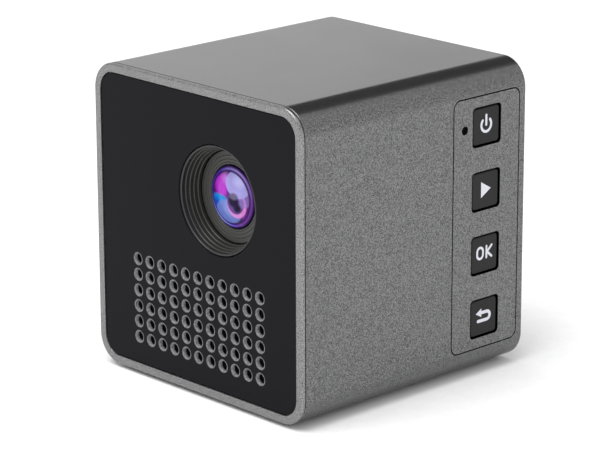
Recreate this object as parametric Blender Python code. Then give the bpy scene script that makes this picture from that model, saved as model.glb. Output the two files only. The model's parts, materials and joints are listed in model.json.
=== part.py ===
"""Pocket cube projector: casing, keys, focusing lens, three-LED light engine, cooling, boards and speaker.

The origin lies under the middle of the base. +X is the key side, -Y is where the light leaves, +Z is up.
Lengths are in metres, written as millimetres times MM.
"""

import math

import bmesh
import bpy
from mathutils import Matrix, Vector

MM = 0.001

# Shared clearances and small sizes
CUT_PAST = 1.0 * MM
SOFT_EDGE = 0.2 * MM

# Casing
BODY_WIDTH = 48.0 * MM
BODY_DEPTH = 49.0 * MM
BODY_HEIGHT = 50.0 * MM
CORNER_RADIUS = 4.6 * MM
CORNER_STEPS = 6
WALL = 1.0 * MM
EDGE_ROUND = 0.4 * MM
SEAM = 0.2 * MM
PAD_STAND = 0.6 * MM
PAD_SIZE = 38.0 * MM
PAD_RADIUS = 4.0 * MM
PAD_RECESS = 0.4 * MM
PAD_HOLE_R = 6.0 * MM
REST_GAP = 0.3 * MM
SEAT_GAP = 0.15 * MM

# Front
BEZEL_FACE = 1.44 * MM
BEZEL_LIP = 0.6 * MM
SKIRT_WALL = 1.25 * MM
SKIRT_DEPTH = 3.5 * MM
PANEL_RECESS = 0.2 * MM
PANEL_FLANGE = 0.4 * MM
PANEL_THICKNESS = 1.5 * MM
PANEL_GAP = 0.12 * MM
LENS_X = 4.77 * MM
LENS_RISE = 7.4 * MM
LENS_HOLE_R = 8.87 * MM
GRILLE_GAP = 4.605 * MM
GRILLE_COLUMNS = 11
GRILLE_ROWS = 6
GRILLE_PITCH_X = 2.86 * MM
GRILLE_PITCH_Z = 2.61 * MM
GRILLE_HOLE_R = 1.1 * MM

# Lens trim
TRIM_STEPS = 5
TRIM_STEP_DEPTH = 0.65 * MM
TRIM_MOUTH_R = 8.4 * MM
TRIM_THROAT_R = 7.45 * MM
TRIM_FLANGE = 1.6 * MM
TRIM_FLANGE_THICKNESS = 0.8 * MM

# Focusing lens
CELL_GAP = 0.25 * MM
CELL_LENGTH = 10.9 * MM
FRONT_GLASS_R = 4.7 * MM
MIDDLE_GLASS_R = 4.4 * MM
REAR_GLASS_R = 5.2 * MM
GLASS_GAP = 0.15 * MM
APERTURE_R = 3.8 * MM
MODULE = 0.6 * MM
PRESSURE_ANGLE = math.radians(20.0)
BACKLASH = 0.12 * MM
RING_TEETH = 30
RING_SETBACK = 2.9 * MM
RING_WIDTH = 3.5 * MM
DIAL_WIDTH = 3.0 * MM
DIAL_PROUD = 0.63 * MM
DIAL_CLEARANCE = 0.6 * MM
SLOT_CLEARANCE = 0.4 * MM
SLOT_CORNER_R = 0.9 * MM  # small enough that the corners of the dial's teeth clear the slot's ends
AXLE_R = 1.0 * MM
RUNNING_GAP = 0.1 * MM
MOUNT_SETBACK = 1.6 * MM
MOUNT_THICKNESS = 1.5 * MM
MOUNT_HALF_HEIGHT = 8.6 * MM
MOUNT_MARGIN_LEFT = 2.5 * MM
MOUNT_MARGIN_RIGHT = 5.0 * MM
POST_OUTSET = 3.2 * MM
POST_RISE = 6.4 * MM
POST_HALF = 1.2 * MM
COLLAR_WALL = 1.2 * MM
FOCUS_TRAVEL = 0.61 * MM
FRONT_SEAT_DEPTH = 2.5 * MM
MIDDLE_SEAT_DEPTH = 4.7 * MM
REAR_SEAT_DEPTH = 8.3 * MM

# Keys
KEY_PLATE_DEPTH = 14.8 * MM
KEY_PLATE_HEIGHT = 41.4 * MM
KEY_PLATE_RADIUS = 1.3 * MM
KEY_PLATE_Y = 15.45 * MM
KEY_PITCH = 10.53 * MM
KEY_OPENING = 6.5 * MM
KEY_CLEARANCE = 0.3 * MM
KEY_RADIUS = 0.7 * MM
KEY_FLANGE = 0.4 * MM
KEY_FLANGE_THICKNESS = 0.5 * MM
KEY_RECESS = 0.15 * MM
KEY_TRAVEL = 0.35 * MM
PLUNGER_R = 0.9 * MM
PLUNGER_REACH = 1.2 * MM
SWITCH_SIZE = 5.2 * MM
SWITCH_HEIGHT = 1.4 * MM
SWITCH_FLOOR = 0.25 * MM
KEY_BOARD_WIDTH = 11.2 * MM
BOARD_THICKNESS = 1.0 * MM
FLEX_THICKNESS = 0.2 * MM
FLEX_WIDTH = 2.5 * MM
FLEX_INSET = 0.6 * MM
FLEX_RISE = 9.0 * MM
STATUS_R = 0.7 * MM
STATUS_INSET = 2.41 * MM
STATUS_GAP = 0.1 * MM

# Light engine
ENGINE_LEFT = 12.77 * MM
ENGINE_RIGHT = 15.23 * MM
ENGINE_LENGTH = 18.6 * MM
ENGINE_CLEARANCE = 0.6 * MM
ENGINE_WALL = 1.0 * MM
ENGINE_FLOOR_DROP = 8.4 * MM
ENGINE_WALL_HEIGHT = 16.0 * MM
LID_THICKNESS = 1.0 * MM
LIGHT_PORT_R = 5.4 * MM
PRISM_SIZE = 10.0 * MM
PRISM_LENGTH = 6.6 * MM
PRISM_CHAMFER = 3.4 * MM
CHIP_WIDTH = 9.0 * MM
CHIP_HEIGHT = 5.6 * MM
CHIP_THICKNESS = 1.4 * MM
CHIP_GAP = 0.8 * MM
CHIP_BOARD_WIDTH = 14.0 * MM
CHIP_BOARD_HEIGHT = 12.0 * MM
CHIP_BOARD_SHIFT = (-0.6 * MM, -0.4 * MM)
FLY_EYE_SIZE = 7.0 * MM
FLY_EYE_THICKNESS = 0.8 * MM
FLY_EYE_GAP = 0.9 * MM
MIRROR_LENGTH = 7.0 * MM
MIRROR_THICKNESS = 0.5 * MM
MIRROR_SPACING = 6.7 * MM
MIRROR_SETBACK = 3.8 * MM
LED_SIZE = 4.6 * MM
LED_THICKNESS = 0.4 * MM
LED_MARGIN = 1.1 * MM
LED_DOME = 0.3 * MM

# Cooling
FAN_SIZE = 25.0 * MM
FAN_THICKNESS = 6.0 * MM
FAN_X = -5.0 * MM
FAN_TOP_CLEARANCE = 0.7 * MM
FAN_BORE_R = 11.3 * MM
FAN_HUB_R = 5.5 * MM
FAN_BLADES = 7
FAN_PLAY = 0.4 * MM
FAN_TIP_GAP = 0.7 * MM
BLADE_HALF = 2.2 * MM
STRUT_THICKNESS = 1.0 * MM
STRUT_HALF = 0.6 * MM
FAN_REAR_CLEARANCE = 0.9 * MM
FIN_COUNT = 10
FIN_THICKNESS = 1.0 * MM
SINK_BASE = 1.2 * MM
SINK_HEIGHT = 21.0 * MM
SINK_TRIM = 1.0 * MM

# Boards, battery and rear cover
MAIN_BOARD_WIDTH = 38.4 * MM
MAIN_BOARD_FRONT = 13.5 * MM
MAIN_BOARD_SETBACK = 0.7 * MM
PROCESSOR_SIZE = 11.0 * MM
PROCESSOR_THICKNESS = 1.3 * MM
PROCESSOR_X = -7.5 * MM
PROCESSOR_Y = -0.5 * MM
BATTERY_WIDTH = 32.0 * MM
BATTERY_LENGTH = 32.5 * MM
BATTERY_HEIGHT = 8.2 * MM
BATTERY_FRONT = 12.0 * MM
CHASSIS_WALL = 0.8 * MM
BATTERY_HEADROOM = 1.6 * MM
COVER_RECESS = 0.4 * MM
COVER_THICKNESS = 1.2 * MM
SCREW_INSET = 3.4 * MM
SCREW_HEAD_R = 1.3 * MM
SCREW_R = 0.85 * MM
SCREW_LENGTH = 3.4 * MM
SCREW_SINK = 0.8 * MM
BOSS_R = 2.3 * MM
BOSS_LENGTH = 3.1 * MM
VENT_SLOTS = 7
VENT_PITCH = 2.9 * MM
VENT_HEIGHT = 1.3 * MM
VENT_WIDTH = 20.0 * MM
SIDE_VENTS = 6
SIDE_VENT_PITCH = 2.6 * MM
SIDE_VENT_WIDTH = 1.2 * MM
SIDE_VENT_HEIGHT = 14.0 * MM
SIDE_VENT_Y = 12.0 * MM
PORT_CLEARANCE = 0.3 * MM

# Sockets: place across, width and height of each, and the round audio jack
PORTS = {"hdmi": (-11.0 * MM, 7.0 * MM, 3.4 * MM), "usb": (3.0 * MM, 7.8 * MM, 3.0 * MM)}
PORT_DEPTH = 6.5 * MM
PORT_RIM = 0.4 * MM
PORT_HOLLOW = 5.0 * MM
AUDIO_X = 13.2 * MM
AUDIO_BODY = 5.0 * MM
AUDIO_NOSE_R = 2.5 * MM
AUDIO_LENGTH = 10.3 * MM
AUDIO_BORE_R = 1.8 * MM
AUDIO_BORE_DEPTH = 9.0 * MM

# Tripod socket
THREAD_R = 3.175 * MM
NUT_R = 6.2 * MM
NUT_HEIGHT = 4.4 * MM
NECK_R = 4.5 * MM

# Speaker
SPEAKER_WIDTH = 28.0 * MM
SPEAKER_HEIGHT = 16.0 * MM
SPEAKER_DEPTH = 3.5 * MM
SPEAKER_RIM = 1.0 * MM
COIL_R = 4.2 * MM
COIL_WALL = 0.4 * MM
COIL_GAP = 0.4 * MM
COIL_SLOT = 2.2 * MM
MAGNET_R = 6.5 * MM
MAGNET_DEPTH = 3.2 * MM
MESH_THICKNESS = 0.3 * MM

# Places worked out from the sizes
FRONT_Y = -BODY_DEPTH / 2
REAR_Y = BODY_DEPTH / 2
RIGHT_X = BODY_WIDTH / 2
LEFT_X = -BODY_WIDTH / 2
BASE_Z = PAD_STAND
MIDDLE_Z = BASE_Z + BODY_HEIGHT / 2
TOP_Z = BASE_Z + BODY_HEIGHT
MIDDLE = (0.0, MIDDLE_Z)

SLEEVE_FRONT = FRONT_Y + BEZEL_LIP + SEAM
SKIRT_OUT = WALL + SEAT_GAP
SKIRT_IN = SKIRT_OUT + SKIRT_WALL
PANEL_FRONT = FRONT_Y + PANEL_RECESS
PANEL_BACK = PANEL_FRONT + PANEL_THICKNESS
LEDGE_Y = PANEL_FRONT + PANEL_FLANGE + SEAT_GAP
LENS_Z = MIDDLE_Z + LENS_RISE
LENS = (LENS_X, LENS_Z)
GRILLE_Z = LENS_Z - LENS_HOLE_R - GRILLE_GAP - (GRILLE_ROWS - 1) / 2 * GRILLE_PITCH_Z

TRIM_FRONT = PANEL_FRONT + SEAT_GAP
TRIM_BACK = TRIM_FRONT + TRIM_STEPS * TRIM_STEP_DEPTH
CELL_R = TRIM_THROAT_R - CELL_GAP
CELL_FRONT = TRIM_BACK
CELL_BACK = CELL_FRONT + CELL_LENGTH
RING_PITCH_R = RING_TEETH * MODULE / 2
DIAL_TEETH = round((LENS_X - LEFT_X + DIAL_PROUD - MODULE - RING_PITCH_R) / MODULE)
DIAL_PITCH_R = DIAL_TEETH * MODULE / 2
DIAL_X = LENS_X - RING_PITCH_R - DIAL_PITCH_R
RING_FRONT = CELL_FRONT + RING_SETBACK
RING_BACK = RING_FRONT + RING_WIDTH
DIAL_FRONT = RING_FRONT + (RING_WIDTH - DIAL_WIDTH) / 2
DIAL_BACK = DIAL_FRONT + DIAL_WIDTH
MOUNT_FRONT = RING_BACK + MOUNT_SETBACK
MOUNT_BACK = MOUNT_FRONT + MOUNT_THICKNESS

KEY_PLATE_CENTRE = (KEY_PLATE_Y, MIDDLE_Z)
PLATE_BACK_X = RIGHT_X - WALL
KEY_FRONT_X = RIGHT_X - KEY_RECESS
KEY_CAP = KEY_OPENING - 2 * KEY_CLEARANCE
FLANGE_OUT_X = PLATE_BACK_X - REST_GAP
FLANGE_IN_X = FLANGE_OUT_X - KEY_FLANGE_THICKNESS
PLUNGER_TOP_X = FLANGE_IN_X - RUNNING_GAP
SWITCH_TOP_X = PLUNGER_TOP_X - PLUNGER_REACH
SWITCH_BASE_X = SWITCH_TOP_X - SWITCH_HEIGHT
PLUNGER_END_X = SWITCH_BASE_X + SWITCH_FLOOR + KEY_TRAVEL + RUNNING_GAP
KEY_BOARD_OUT_X = SWITCH_BASE_X - RUNNING_GAP
KEY_BOARD_IN_X = KEY_BOARD_OUT_X - BOARD_THICKNESS
FLEX_FRONT = KEY_PLATE_Y - KEY_BOARD_WIDTH / 2 + FLEX_INSET
STATUS_Y = KEY_PLATE_Y - KEY_PLATE_DEPTH / 2 + STATUS_INSET
KEY_ORDER = ("power", "play", "ok", "back")
KEY_RISES = {name: (1.5 - place) * KEY_PITCH for place, name in enumerate(KEY_ORDER)}

ENGINE_FRONT = CELL_BACK + FOCUS_TRAVEL + ENGINE_CLEARANCE
ENGINE_BACK = ENGINE_FRONT + ENGINE_LENGTH
ENGINE_LEFT_X = LENS_X - ENGINE_LEFT
ENGINE_RIGHT_X = LENS_X + ENGINE_RIGHT
ENGINE_FLOOR_Z = LENS_Z - ENGINE_FLOOR_DROP
ENGINE_RIM_Z = ENGINE_FLOOR_Z + ENGINE_WALL_HEIGHT
PRISM_FRONT = ENGINE_FRONT + ENGINE_WALL + ENGINE_CLEARANCE
PRISM_BACK = PRISM_FRONT + PRISM_LENGTH
CHIP_FRONT = PRISM_BACK + CHIP_GAP
CHIP_BACK = CHIP_FRONT + CHIP_THICKNESS
FLY_EYE_X = LENS_X + PRISM_SIZE / 2 + FLY_EYE_GAP
MIRROR_X = ENGINE_RIGHT_X - ENGINE_WALL - MIRROR_SETBACK
MIRROR_FRONT_Y = (PRISM_FRONT + PRISM_BACK) / 2

COVER_BACK = REAR_Y - COVER_RECESS
COVER_FRONT = COVER_BACK - COVER_THICKNESS
FAN_BACK = COVER_FRONT - FAN_REAR_CLEARANCE
FAN_FRONT = FAN_BACK - FAN_THICKNESS
FAN_Z = TOP_Z - WALL - FAN_TOP_CLEARANCE - FAN_SIZE / 2
SINK_FRONT = ENGINE_BACK + REST_GAP
SINK_BACK = FAN_FRONT - REST_GAP
SINK_WIDTH = FAN_SIZE - SINK_TRIM

NUT_BOTTOM_Z = BASE_Z + WALL + SEAM
NUT_TOP_Z = NUT_BOTTOM_Z + NUT_HEIGHT
CHASSIS_BOTTOM_Z = NUT_TOP_Z + REST_GAP
BATTERY_BOTTOM_Z = CHASSIS_BOTTOM_Z + CHASSIS_WALL + REST_GAP
CHASSIS_INNER = BATTERY_WIDTH / 2 + REST_GAP
CHASSIS_TOP_Z = BATTERY_BOTTOM_Z + BATTERY_HEIGHT + BATTERY_HEADROOM
BOARD_BOTTOM_Z = CHASSIS_TOP_Z + SEAM
BOARD_TOP_Z = BOARD_BOTTOM_Z + BOARD_THICKNESS
BOARD_RIGHT_X = KEY_BOARD_IN_X - MAIN_BOARD_SETBACK
BOARD_LEFT_X = BOARD_RIGHT_X - MAIN_BOARD_WIDTH
PORTS_Z = BOARD_TOP_Z + REST_GAP

MESH_FRONT = PANEL_BACK + SEAT_GAP
SPEAKER_FRONT = MESH_FRONT + MESH_THICKNESS + REST_GAP
SPEAKER_BACK = SPEAKER_FRONT + SPEAKER_DEPTH

# Colour, roughness and metallic value of each finish
FINISHES = {
    "grey_paint": ((0.25, 0.25, 0.26), 0.45, 0.5),
    "black_gloss": ((0.025, 0.024, 0.028), 0.25, 0.0),
    "dark_plastic": ((0.04, 0.04, 0.045), 0.5, 0.0),
    "key_grey": ((0.05, 0.05, 0.055), 0.45, 0.0),
    "rubber": ((0.03, 0.03, 0.03), 0.85, 0.0),
    "brass": ((0.72, 0.52, 0.25), 0.3, 1.0),
    "steel": ((0.6, 0.6, 0.62), 0.3, 1.0),
    "aluminium": ((0.75, 0.75, 0.77), 0.35, 1.0),
    "glass": ((0.5, 0.45, 0.7), 0.05, 0.0),
    "board_green": ((0.03, 0.2, 0.08), 0.5, 0.0),
    "foil": ((0.35, 0.4, 0.5), 0.4, 0.3),
    "amber": ((0.7, 0.35, 0.08), 0.5, 0.0),
    "red": ((0.8, 0.05, 0.05), 0.3, 0.0),
    "green": ((0.05, 0.7, 0.1), 0.3, 0.0),
    "blue": ((0.05, 0.1, 0.8), 0.3, 0.0),
    "clear": ((0.85, 0.85, 0.85), 0.2, 0.0),
    "cloth": ((0.02, 0.02, 0.02), 0.9, 0.0),
}


def clear_scene():
    """Removes whatever the scene held."""
    for obj in list(bpy.data.objects):
        bpy.data.objects.remove(obj)


def material_of(name, finish):
    """A Principled material of its own for one sub-part."""
    colour, roughness, metallic = FINISHES[finish]
    material = bpy.data.materials.new(f"{name}_{finish}")
    material.use_nodes = True
    shader = material.node_tree.nodes["Principled BSDF"]
    shader.inputs["Base Color"].default_value = (*colour, 1.0)
    shader.inputs["Roughness"].default_value = roughness
    shader.inputs["Metallic"].default_value = metallic
    return material


def link_mesh(name, bm, origin):
    """An object of this mesh, with its origin at a point and its shape where the mesh was drawn."""
    bmesh.ops.translate(bm, verts=bm.verts, vec=-Vector(origin))
    bmesh.ops.recalc_face_normals(bm, faces=bm.faces)
    mesh = bpy.data.meshes.new(name)
    bm.to_mesh(mesh)
    bm.free()
    mesh.shade_smooth()
    mesh.set_sharp_from_angle(angle=math.radians(35.0))
    obj = bpy.data.objects.new(name, mesh)
    obj.location = origin
    bpy.context.scene.collection.objects.link(obj)
    return obj


def make_part(name, bm, finish, origin=(0.0, 0.0, 0.0), parent=None):
    """One sub-part with its own material, hung on another part if it moves with it."""
    obj = link_mesh(name, bm, origin)
    obj.data.materials.append(material_of(name, finish))
    if parent:
        obj.parent = parent
        obj.location = Vector(origin) - parent.location
    return obj


def combine(obj, bm, operation):
    """Adds a Boolean modifier whose other solid is a hidden helper."""
    helper = link_mesh(f"{obj.name}_helper_{len(obj.modifiers)}", bm, (0.0, 0.0, 0.0))
    helper.hide_render = True
    helper.display_type = "WIRE"
    modifier = obj.modifiers.new(f"{operation.lower()}_{len(obj.modifiers)}", "BOOLEAN")
    modifier.operation = operation
    modifier.solver = "EXACT"
    modifier.object = helper


def cut(obj, bm):
    """Takes a solid away from a part."""
    combine(obj, bm, "DIFFERENCE")


def join(obj, bm):
    """Fuses a solid to a part."""
    combine(obj, bm, "UNION")


def rounded_rectangle(width, height, radius, steps=CORNER_STEPS):
    """Points of a rounded rectangle about the origin, anticlockwise."""
    radius = min(radius, width / 2, height / 2)
    points = []
    for turn in range(4):
        sign_u = 1 if turn in (0, 3) else -1
        sign_v = 1 if turn < 2 else -1
        centre_u = sign_u * (width / 2 - radius)
        centre_v = sign_v * (height / 2 - radius)
        for step in range(steps + 1):
            angle = (turn + step / steps) * math.pi / 2
            points.append((centre_u + radius * math.cos(angle), centre_v + radius * math.sin(angle)))
    return points


def circle(radius, sides):
    """Points of a regular polygon about the origin, anticlockwise."""
    turns = [2 * math.pi * (side + 0.5) / sides for side in range(sides)]
    return [(radius * math.cos(turn), radius * math.sin(turn)) for turn in turns]


def placed(points, axis, along, centre):
    """A flat outline as 3-D points across an axis, with centre given in the two other axes."""
    u, v = centre
    if axis == "X":
        return [Vector((along, u + a, v + b)) for a, b in points]
    if axis == "Y":
        return [Vector((u + a, along, v + b)) for a, b in points]
    return [Vector((u + a, v + b, along)) for a, b in points]


def loft(loops, ring=False, bm=None):
    """A closed skin over outlines of equal length, capped at both ends or joined round into a ring."""
    bm = bm or bmesh.new()
    rows = [[bm.verts.new(point) for point in loop] for loop in loops]
    pairs = list(zip(rows, rows[1:]))
    if ring:
        pairs.append((rows[-1], rows[0]))
    else:
        bm.faces.new(rows[0])
        bm.faces.new(rows[-1])
    for lower, upper in pairs:
        for first in range(len(lower)):
            second = (first + 1) % len(lower)
            bm.faces.new((lower[first], lower[second], upper[second], upper[first]))
    return bm


def prism(points, axis, low, high, centre, bm=None):
    """An outline drawn out along an axis."""
    return loft([placed(points, axis, low, centre), placed(points, axis, high, centre)], bm=bm)


def box(low, high, bm=None):
    """An upright block between two corners."""
    bm = bm or bmesh.new()
    size = [b - a for a, b in zip(low, high)]
    middle = [(a + b) / 2 for a, b in zip(low, high)]
    bmesh.ops.create_cube(bm, size=1.0, matrix=Matrix.Translation(middle) @ Matrix.Diagonal((*size, 1.0)))
    return bm


def bevelled_box(low, high, width):
    """A block with its edges taken off."""
    bm = box(low, high)
    bmesh.ops.bevel(bm, geom=bm.edges[:], offset=width, affect="EDGES", segments=1, profile=0.5, material=-1)
    return bm


def rod(axis, centre, low, high, radius, sides=24, bm=None):
    """A round bar along an axis."""
    return prism(circle(radius, sides), axis, low, high, centre, bm=bm)


def turned(profile, axis, centre, sides):
    """A closed half-section of (radius, along) points, spun about an axis."""
    bm = bmesh.new()
    u, v = centre
    pole = {"X": (0, u, v), "Y": (u, 0, v), "Z": (u, v, 0)}[axis]
    direction = {"X": (1, 0, 0), "Y": (0, 1, 0), "Z": (0, 0, 1)}[axis]
    points = [placed([(radius, 0.0)], axis, along, centre)[0] for radius, along in profile]
    verts = [bm.verts.new(point) for point in points]
    on_axis = profile[0][0] == 0.0 and profile[-1][0] == 0.0
    edges = [bm.edges.new(pair) for pair in zip(verts, verts[1:])]
    if not on_axis:
        edges.append(bm.edges.new((verts[-1], verts[0])))
    bmesh.ops.spin(
        bm, geom=verts + edges, cent=pole, axis=direction, angle=2 * math.pi, steps=sides, use_merge=True
    )
    bmesh.ops.remove_doubles(bm, verts=bm.verts, dist=0.0005 * MM)
    return bm


def body_outline(inset):
    """The casing's outline, drawn in by an inset all round."""
    return rounded_rectangle(
        BODY_WIDTH - 2 * inset, BODY_HEIGHT - 2 * inset, max(CORNER_RADIUS - inset, 0.5 * MM)
    )


def body_loops(section):
    """The casing's outline at each (inset, y) of a section."""
    return [placed(body_outline(inset), "Y", y, MIDDLE) for inset, y in section]


def corner_places():
    """Where the four rear screws stand."""
    across = RIGHT_X - SCREW_INSET
    up = BODY_HEIGHT / 2 - SCREW_INSET
    return {
        "upper_right": (across, MIDDLE_Z + up),
        "upper_left": (-across, MIDDLE_Z + up),
        "lower_right": (across, MIDDLE_Z - up),
        "lower_left": (-across, MIDDLE_Z - up),
    }


def key_plate_prism(grow):
    """The column of the key plate's outline through the right wall."""
    outline = rounded_rectangle(
        KEY_PLATE_DEPTH + 2 * grow, KEY_PLATE_HEIGHT + 2 * grow, KEY_PLATE_RADIUS + grow, steps=4
    )
    return prism(outline, "X", PLATE_BACK_X - CUT_PAST, RIGHT_X + CUT_PAST, KEY_PLATE_CENTRE)


def sleeve():
    """The tube that wraps the top, sides and base, with its wheel slot, vents, bosses and base recess."""
    section = [
        (WALL, SLEEVE_FRONT),
        (0.2 * MM, SLEEVE_FRONT),
        (0.0, SLEEVE_FRONT + 0.2 * MM),
        (0.0, REAR_Y - EDGE_ROUND),
        (EDGE_ROUND, REAR_Y),
        (WALL, REAR_Y),
    ]
    part = make_part("sleeve", loft(body_loops(section), ring=True), "grey_paint")
    bosses = bmesh.new()
    for place in corner_places().values():
        rod("Y", place, COVER_FRONT - SEAM - BOSS_LENGTH, COVER_FRONT - SEAM, BOSS_R, 16, bosses)
    join(part, bosses)
    cut(part, key_plate_prism(SEAM))
    reach = DIAL_X - (LEFT_X + WALL)
    half_slot = math.sqrt((DIAL_PITCH_R + MODULE) ** 2 - reach**2) + DIAL_CLEARANCE
    slot_width = DIAL_WIDTH + 2 * SLOT_CLEARANCE
    slot = rounded_rectangle(slot_width, 2 * half_slot, SLOT_CORNER_R, steps=4)
    slot_centre = ((DIAL_FRONT + DIAL_BACK) / 2, LENS_Z)
    cut(part, prism(slot, "X", LEFT_X - CUT_PAST, LEFT_X + 2 * WALL, slot_centre))
    holes = bmesh.new()
    for place in corner_places().values():
        rod("Y", place, COVER_FRONT - BOSS_LENGTH - 1.0 * MM, COVER_FRONT, SCREW_R + RUNNING_GAP, 12, holes)
    rod("Z", (0.0, 0.0), BASE_Z - CUT_PAST, BASE_Z + 2 * WALL, NECK_R + SEAM, 24, holes)
    for slot_index in range(SIDE_VENTS):
        y = SIDE_VENT_Y + (slot_index - (SIDE_VENTS - 1) / 2) * SIDE_VENT_PITCH
        low = (LEFT_X - CUT_PAST, y - SIDE_VENT_WIDTH / 2, LENS_Z - SIDE_VENT_HEIGHT / 2)
        high = (LEFT_X + 2 * WALL, y + SIDE_VENT_WIDTH / 2, LENS_Z + SIDE_VENT_HEIGHT / 2)
        box(low, high, holes)
    cut(part, holes)
    recess = rounded_rectangle(PAD_SIZE + 2 * SEAM, PAD_SIZE + 2 * SEAM, PAD_RADIUS + SEAM)
    cut(part, prism(recess, "Z", BASE_Z - CUT_PAST, BASE_Z + PAD_RECESS, (0.0, 0.0)))


def front_bezel():
    """The frame that holds the front panel, with a skirt that plugs into the sleeve."""
    section = [
        (BEZEL_FACE, FRONT_Y),
        (EDGE_ROUND, FRONT_Y),
        (0.0, FRONT_Y + EDGE_ROUND),
        (0.0, FRONT_Y + BEZEL_LIP),
        (SKIRT_OUT, FRONT_Y + BEZEL_LIP),
        (SKIRT_OUT, FRONT_Y + SKIRT_DEPTH),
        (SKIRT_IN, FRONT_Y + SKIRT_DEPTH),
        (SKIRT_IN, LEDGE_Y),
        (BEZEL_FACE, LEDGE_Y),
    ]
    make_part("front_bezel", loft(body_loops(section), ring=True), "grey_paint")


def front_panel():
    """The black panel, stepped to seat in the bezel, with the lens hole and the grille."""
    edge = BEZEL_FACE + PANEL_GAP
    step = SKIRT_IN + SEAT_GAP
    flange_back = PANEL_FRONT + PANEL_FLANGE
    section = [(edge, PANEL_FRONT), (edge, flange_back), (step, flange_back), (step, PANEL_BACK)]
    part = make_part("front_panel", loft(body_loops(section)), "black_gloss")
    holes = rod("Y", LENS, PANEL_FRONT - CUT_PAST, PANEL_BACK + CUT_PAST, LENS_HOLE_R, 48)
    for column in range(GRILLE_COLUMNS):
        for row in range(GRILLE_ROWS):
            x = (column - (GRILLE_COLUMNS - 1) / 2) * GRILLE_PITCH_X
            z = GRILLE_Z + (row - (GRILLE_ROWS - 1) / 2) * GRILLE_PITCH_Z
            rod("Y", (x, z), PANEL_FRONT - CUT_PAST, PANEL_BACK + CUT_PAST, GRILLE_HOLE_R, 8, holes)
    cut(part, holes)


def lens_trim():
    """The stepped light baffle in the panel's hole, held by a flange behind the panel."""
    outer = LENS_HOLE_R - PANEL_GAP
    flange_front = PANEL_BACK + SEAT_GAP
    flange_back = flange_front + TRIM_FLANGE_THICKNESS
    profile = [(outer, TRIM_FRONT)]
    for step in range(TRIM_STEPS):
        radius = TRIM_MOUTH_R + (TRIM_THROAT_R - TRIM_MOUTH_R) * step / (TRIM_STEPS - 1)
        profile.append((radius, TRIM_FRONT + step * TRIM_STEP_DEPTH))
        profile.append((radius, TRIM_FRONT + (step + 1) * TRIM_STEP_DEPTH))
    profile.append((outer, TRIM_BACK))
    profile.append((outer, flange_back))
    profile.append((LENS_HOLE_R + TRIM_FLANGE, flange_back))
    profile.append((LENS_HOLE_R + TRIM_FLANGE, flange_front))
    profile.append((outer, flange_front))
    make_part("lens_trim", turned(profile, "Y", LENS, 32), "dark_plastic")


def glass_profile(radius, front, back, front_bulge, back_bulge, steps=3):
    """Half-section of a lens: flat rim between two bulged faces, from the front pole to the rear pole."""
    shares = [step / steps for step in range(steps + 1)]
    bulges = [(radius * share, front - front_bulge * (1 - share**2)) for share in shares]
    return bulges + [(radius * share, back + back_bulge * (1 - share**2)) for share in reversed(shares)]


def lens_group():
    """The cell that slides to focus, and its three glasses."""
    front_seat = CELL_FRONT + FRONT_SEAT_DEPTH
    middle_seat = CELL_FRONT + MIDDLE_SEAT_DEPTH
    rear_seat = CELL_FRONT + REAR_SEAT_DEPTH
    profile = [
        (CELL_R, CELL_FRONT),
        (FRONT_GLASS_R + GLASS_GAP, CELL_FRONT),
        (FRONT_GLASS_R + GLASS_GAP, front_seat),
        (APERTURE_R, front_seat),
        (APERTURE_R, middle_seat),
        (MIDDLE_GLASS_R + GLASS_GAP, middle_seat),
        (MIDDLE_GLASS_R + GLASS_GAP, rear_seat),
        (REAR_GLASS_R + GLASS_GAP, rear_seat),
        (REAR_GLASS_R + GLASS_GAP, CELL_BACK),
        (CELL_R, CELL_BACK),
    ]
    origin = (LENS_X, CELL_FRONT, LENS_Z)
    cell = make_part("lens_cell", turned(profile, "Y", LENS, 32), "dark_plastic", origin)
    glasses = {
        "front_element": (FRONT_GLASS_R, CELL_FRONT - 0.1 * MM, front_seat - 0.9 * MM, 1.0 * MM, 0.3 * MM),
        "middle_element": (MIDDLE_GLASS_R, middle_seat + 0.9 * MM, rear_seat - 0.9 * MM, 0.5 * MM, 0.5 * MM),
        "rear_element": (REAR_GLASS_R, rear_seat + 0.6 * MM, CELL_BACK - 0.7 * MM, 0.2 * MM, 0.5 * MM),
    }
    for name, (radius, front, back, front_bulge, back_bulge) in glasses.items():
        profile = glass_profile(radius, front, back, front_bulge, back_bulge)
        make_part(name, turned(profile, "Y", LENS, 24), "glass", (LENS_X, front, LENS_Z), cell)


def gear_outline(teeth, first):
    """A spur gear's outline with involute flanks, one tooth centred on the angle first."""
    pitch_r = teeth * MODULE / 2
    base_r = pitch_r * math.cos(PRESSURE_ANGLE)
    at_pitch = (math.pi * MODULE / 2 - BACKLASH) / (2 * pitch_r) + math.tan(PRESSURE_ANGLE) - PRESSURE_ANGLE
    flank = []
    for radius in (pitch_r - 1.25 * MODULE, pitch_r, pitch_r + MODULE):
        opening = math.acos(min(1.0, base_r / radius))
        flank.append((radius, at_pitch - math.tan(opening) + opening))
    points = []
    for tooth in range(teeth):
        middle = first + 2 * math.pi * tooth / teeth
        turns = [(radius, middle - half) for radius, half in flank]
        turns += [(radius, middle + half) for radius, half in reversed(flank)]
        points += [(radius * math.cos(turn), radius * math.sin(turn)) for radius, turn in turns]
    return points


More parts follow.
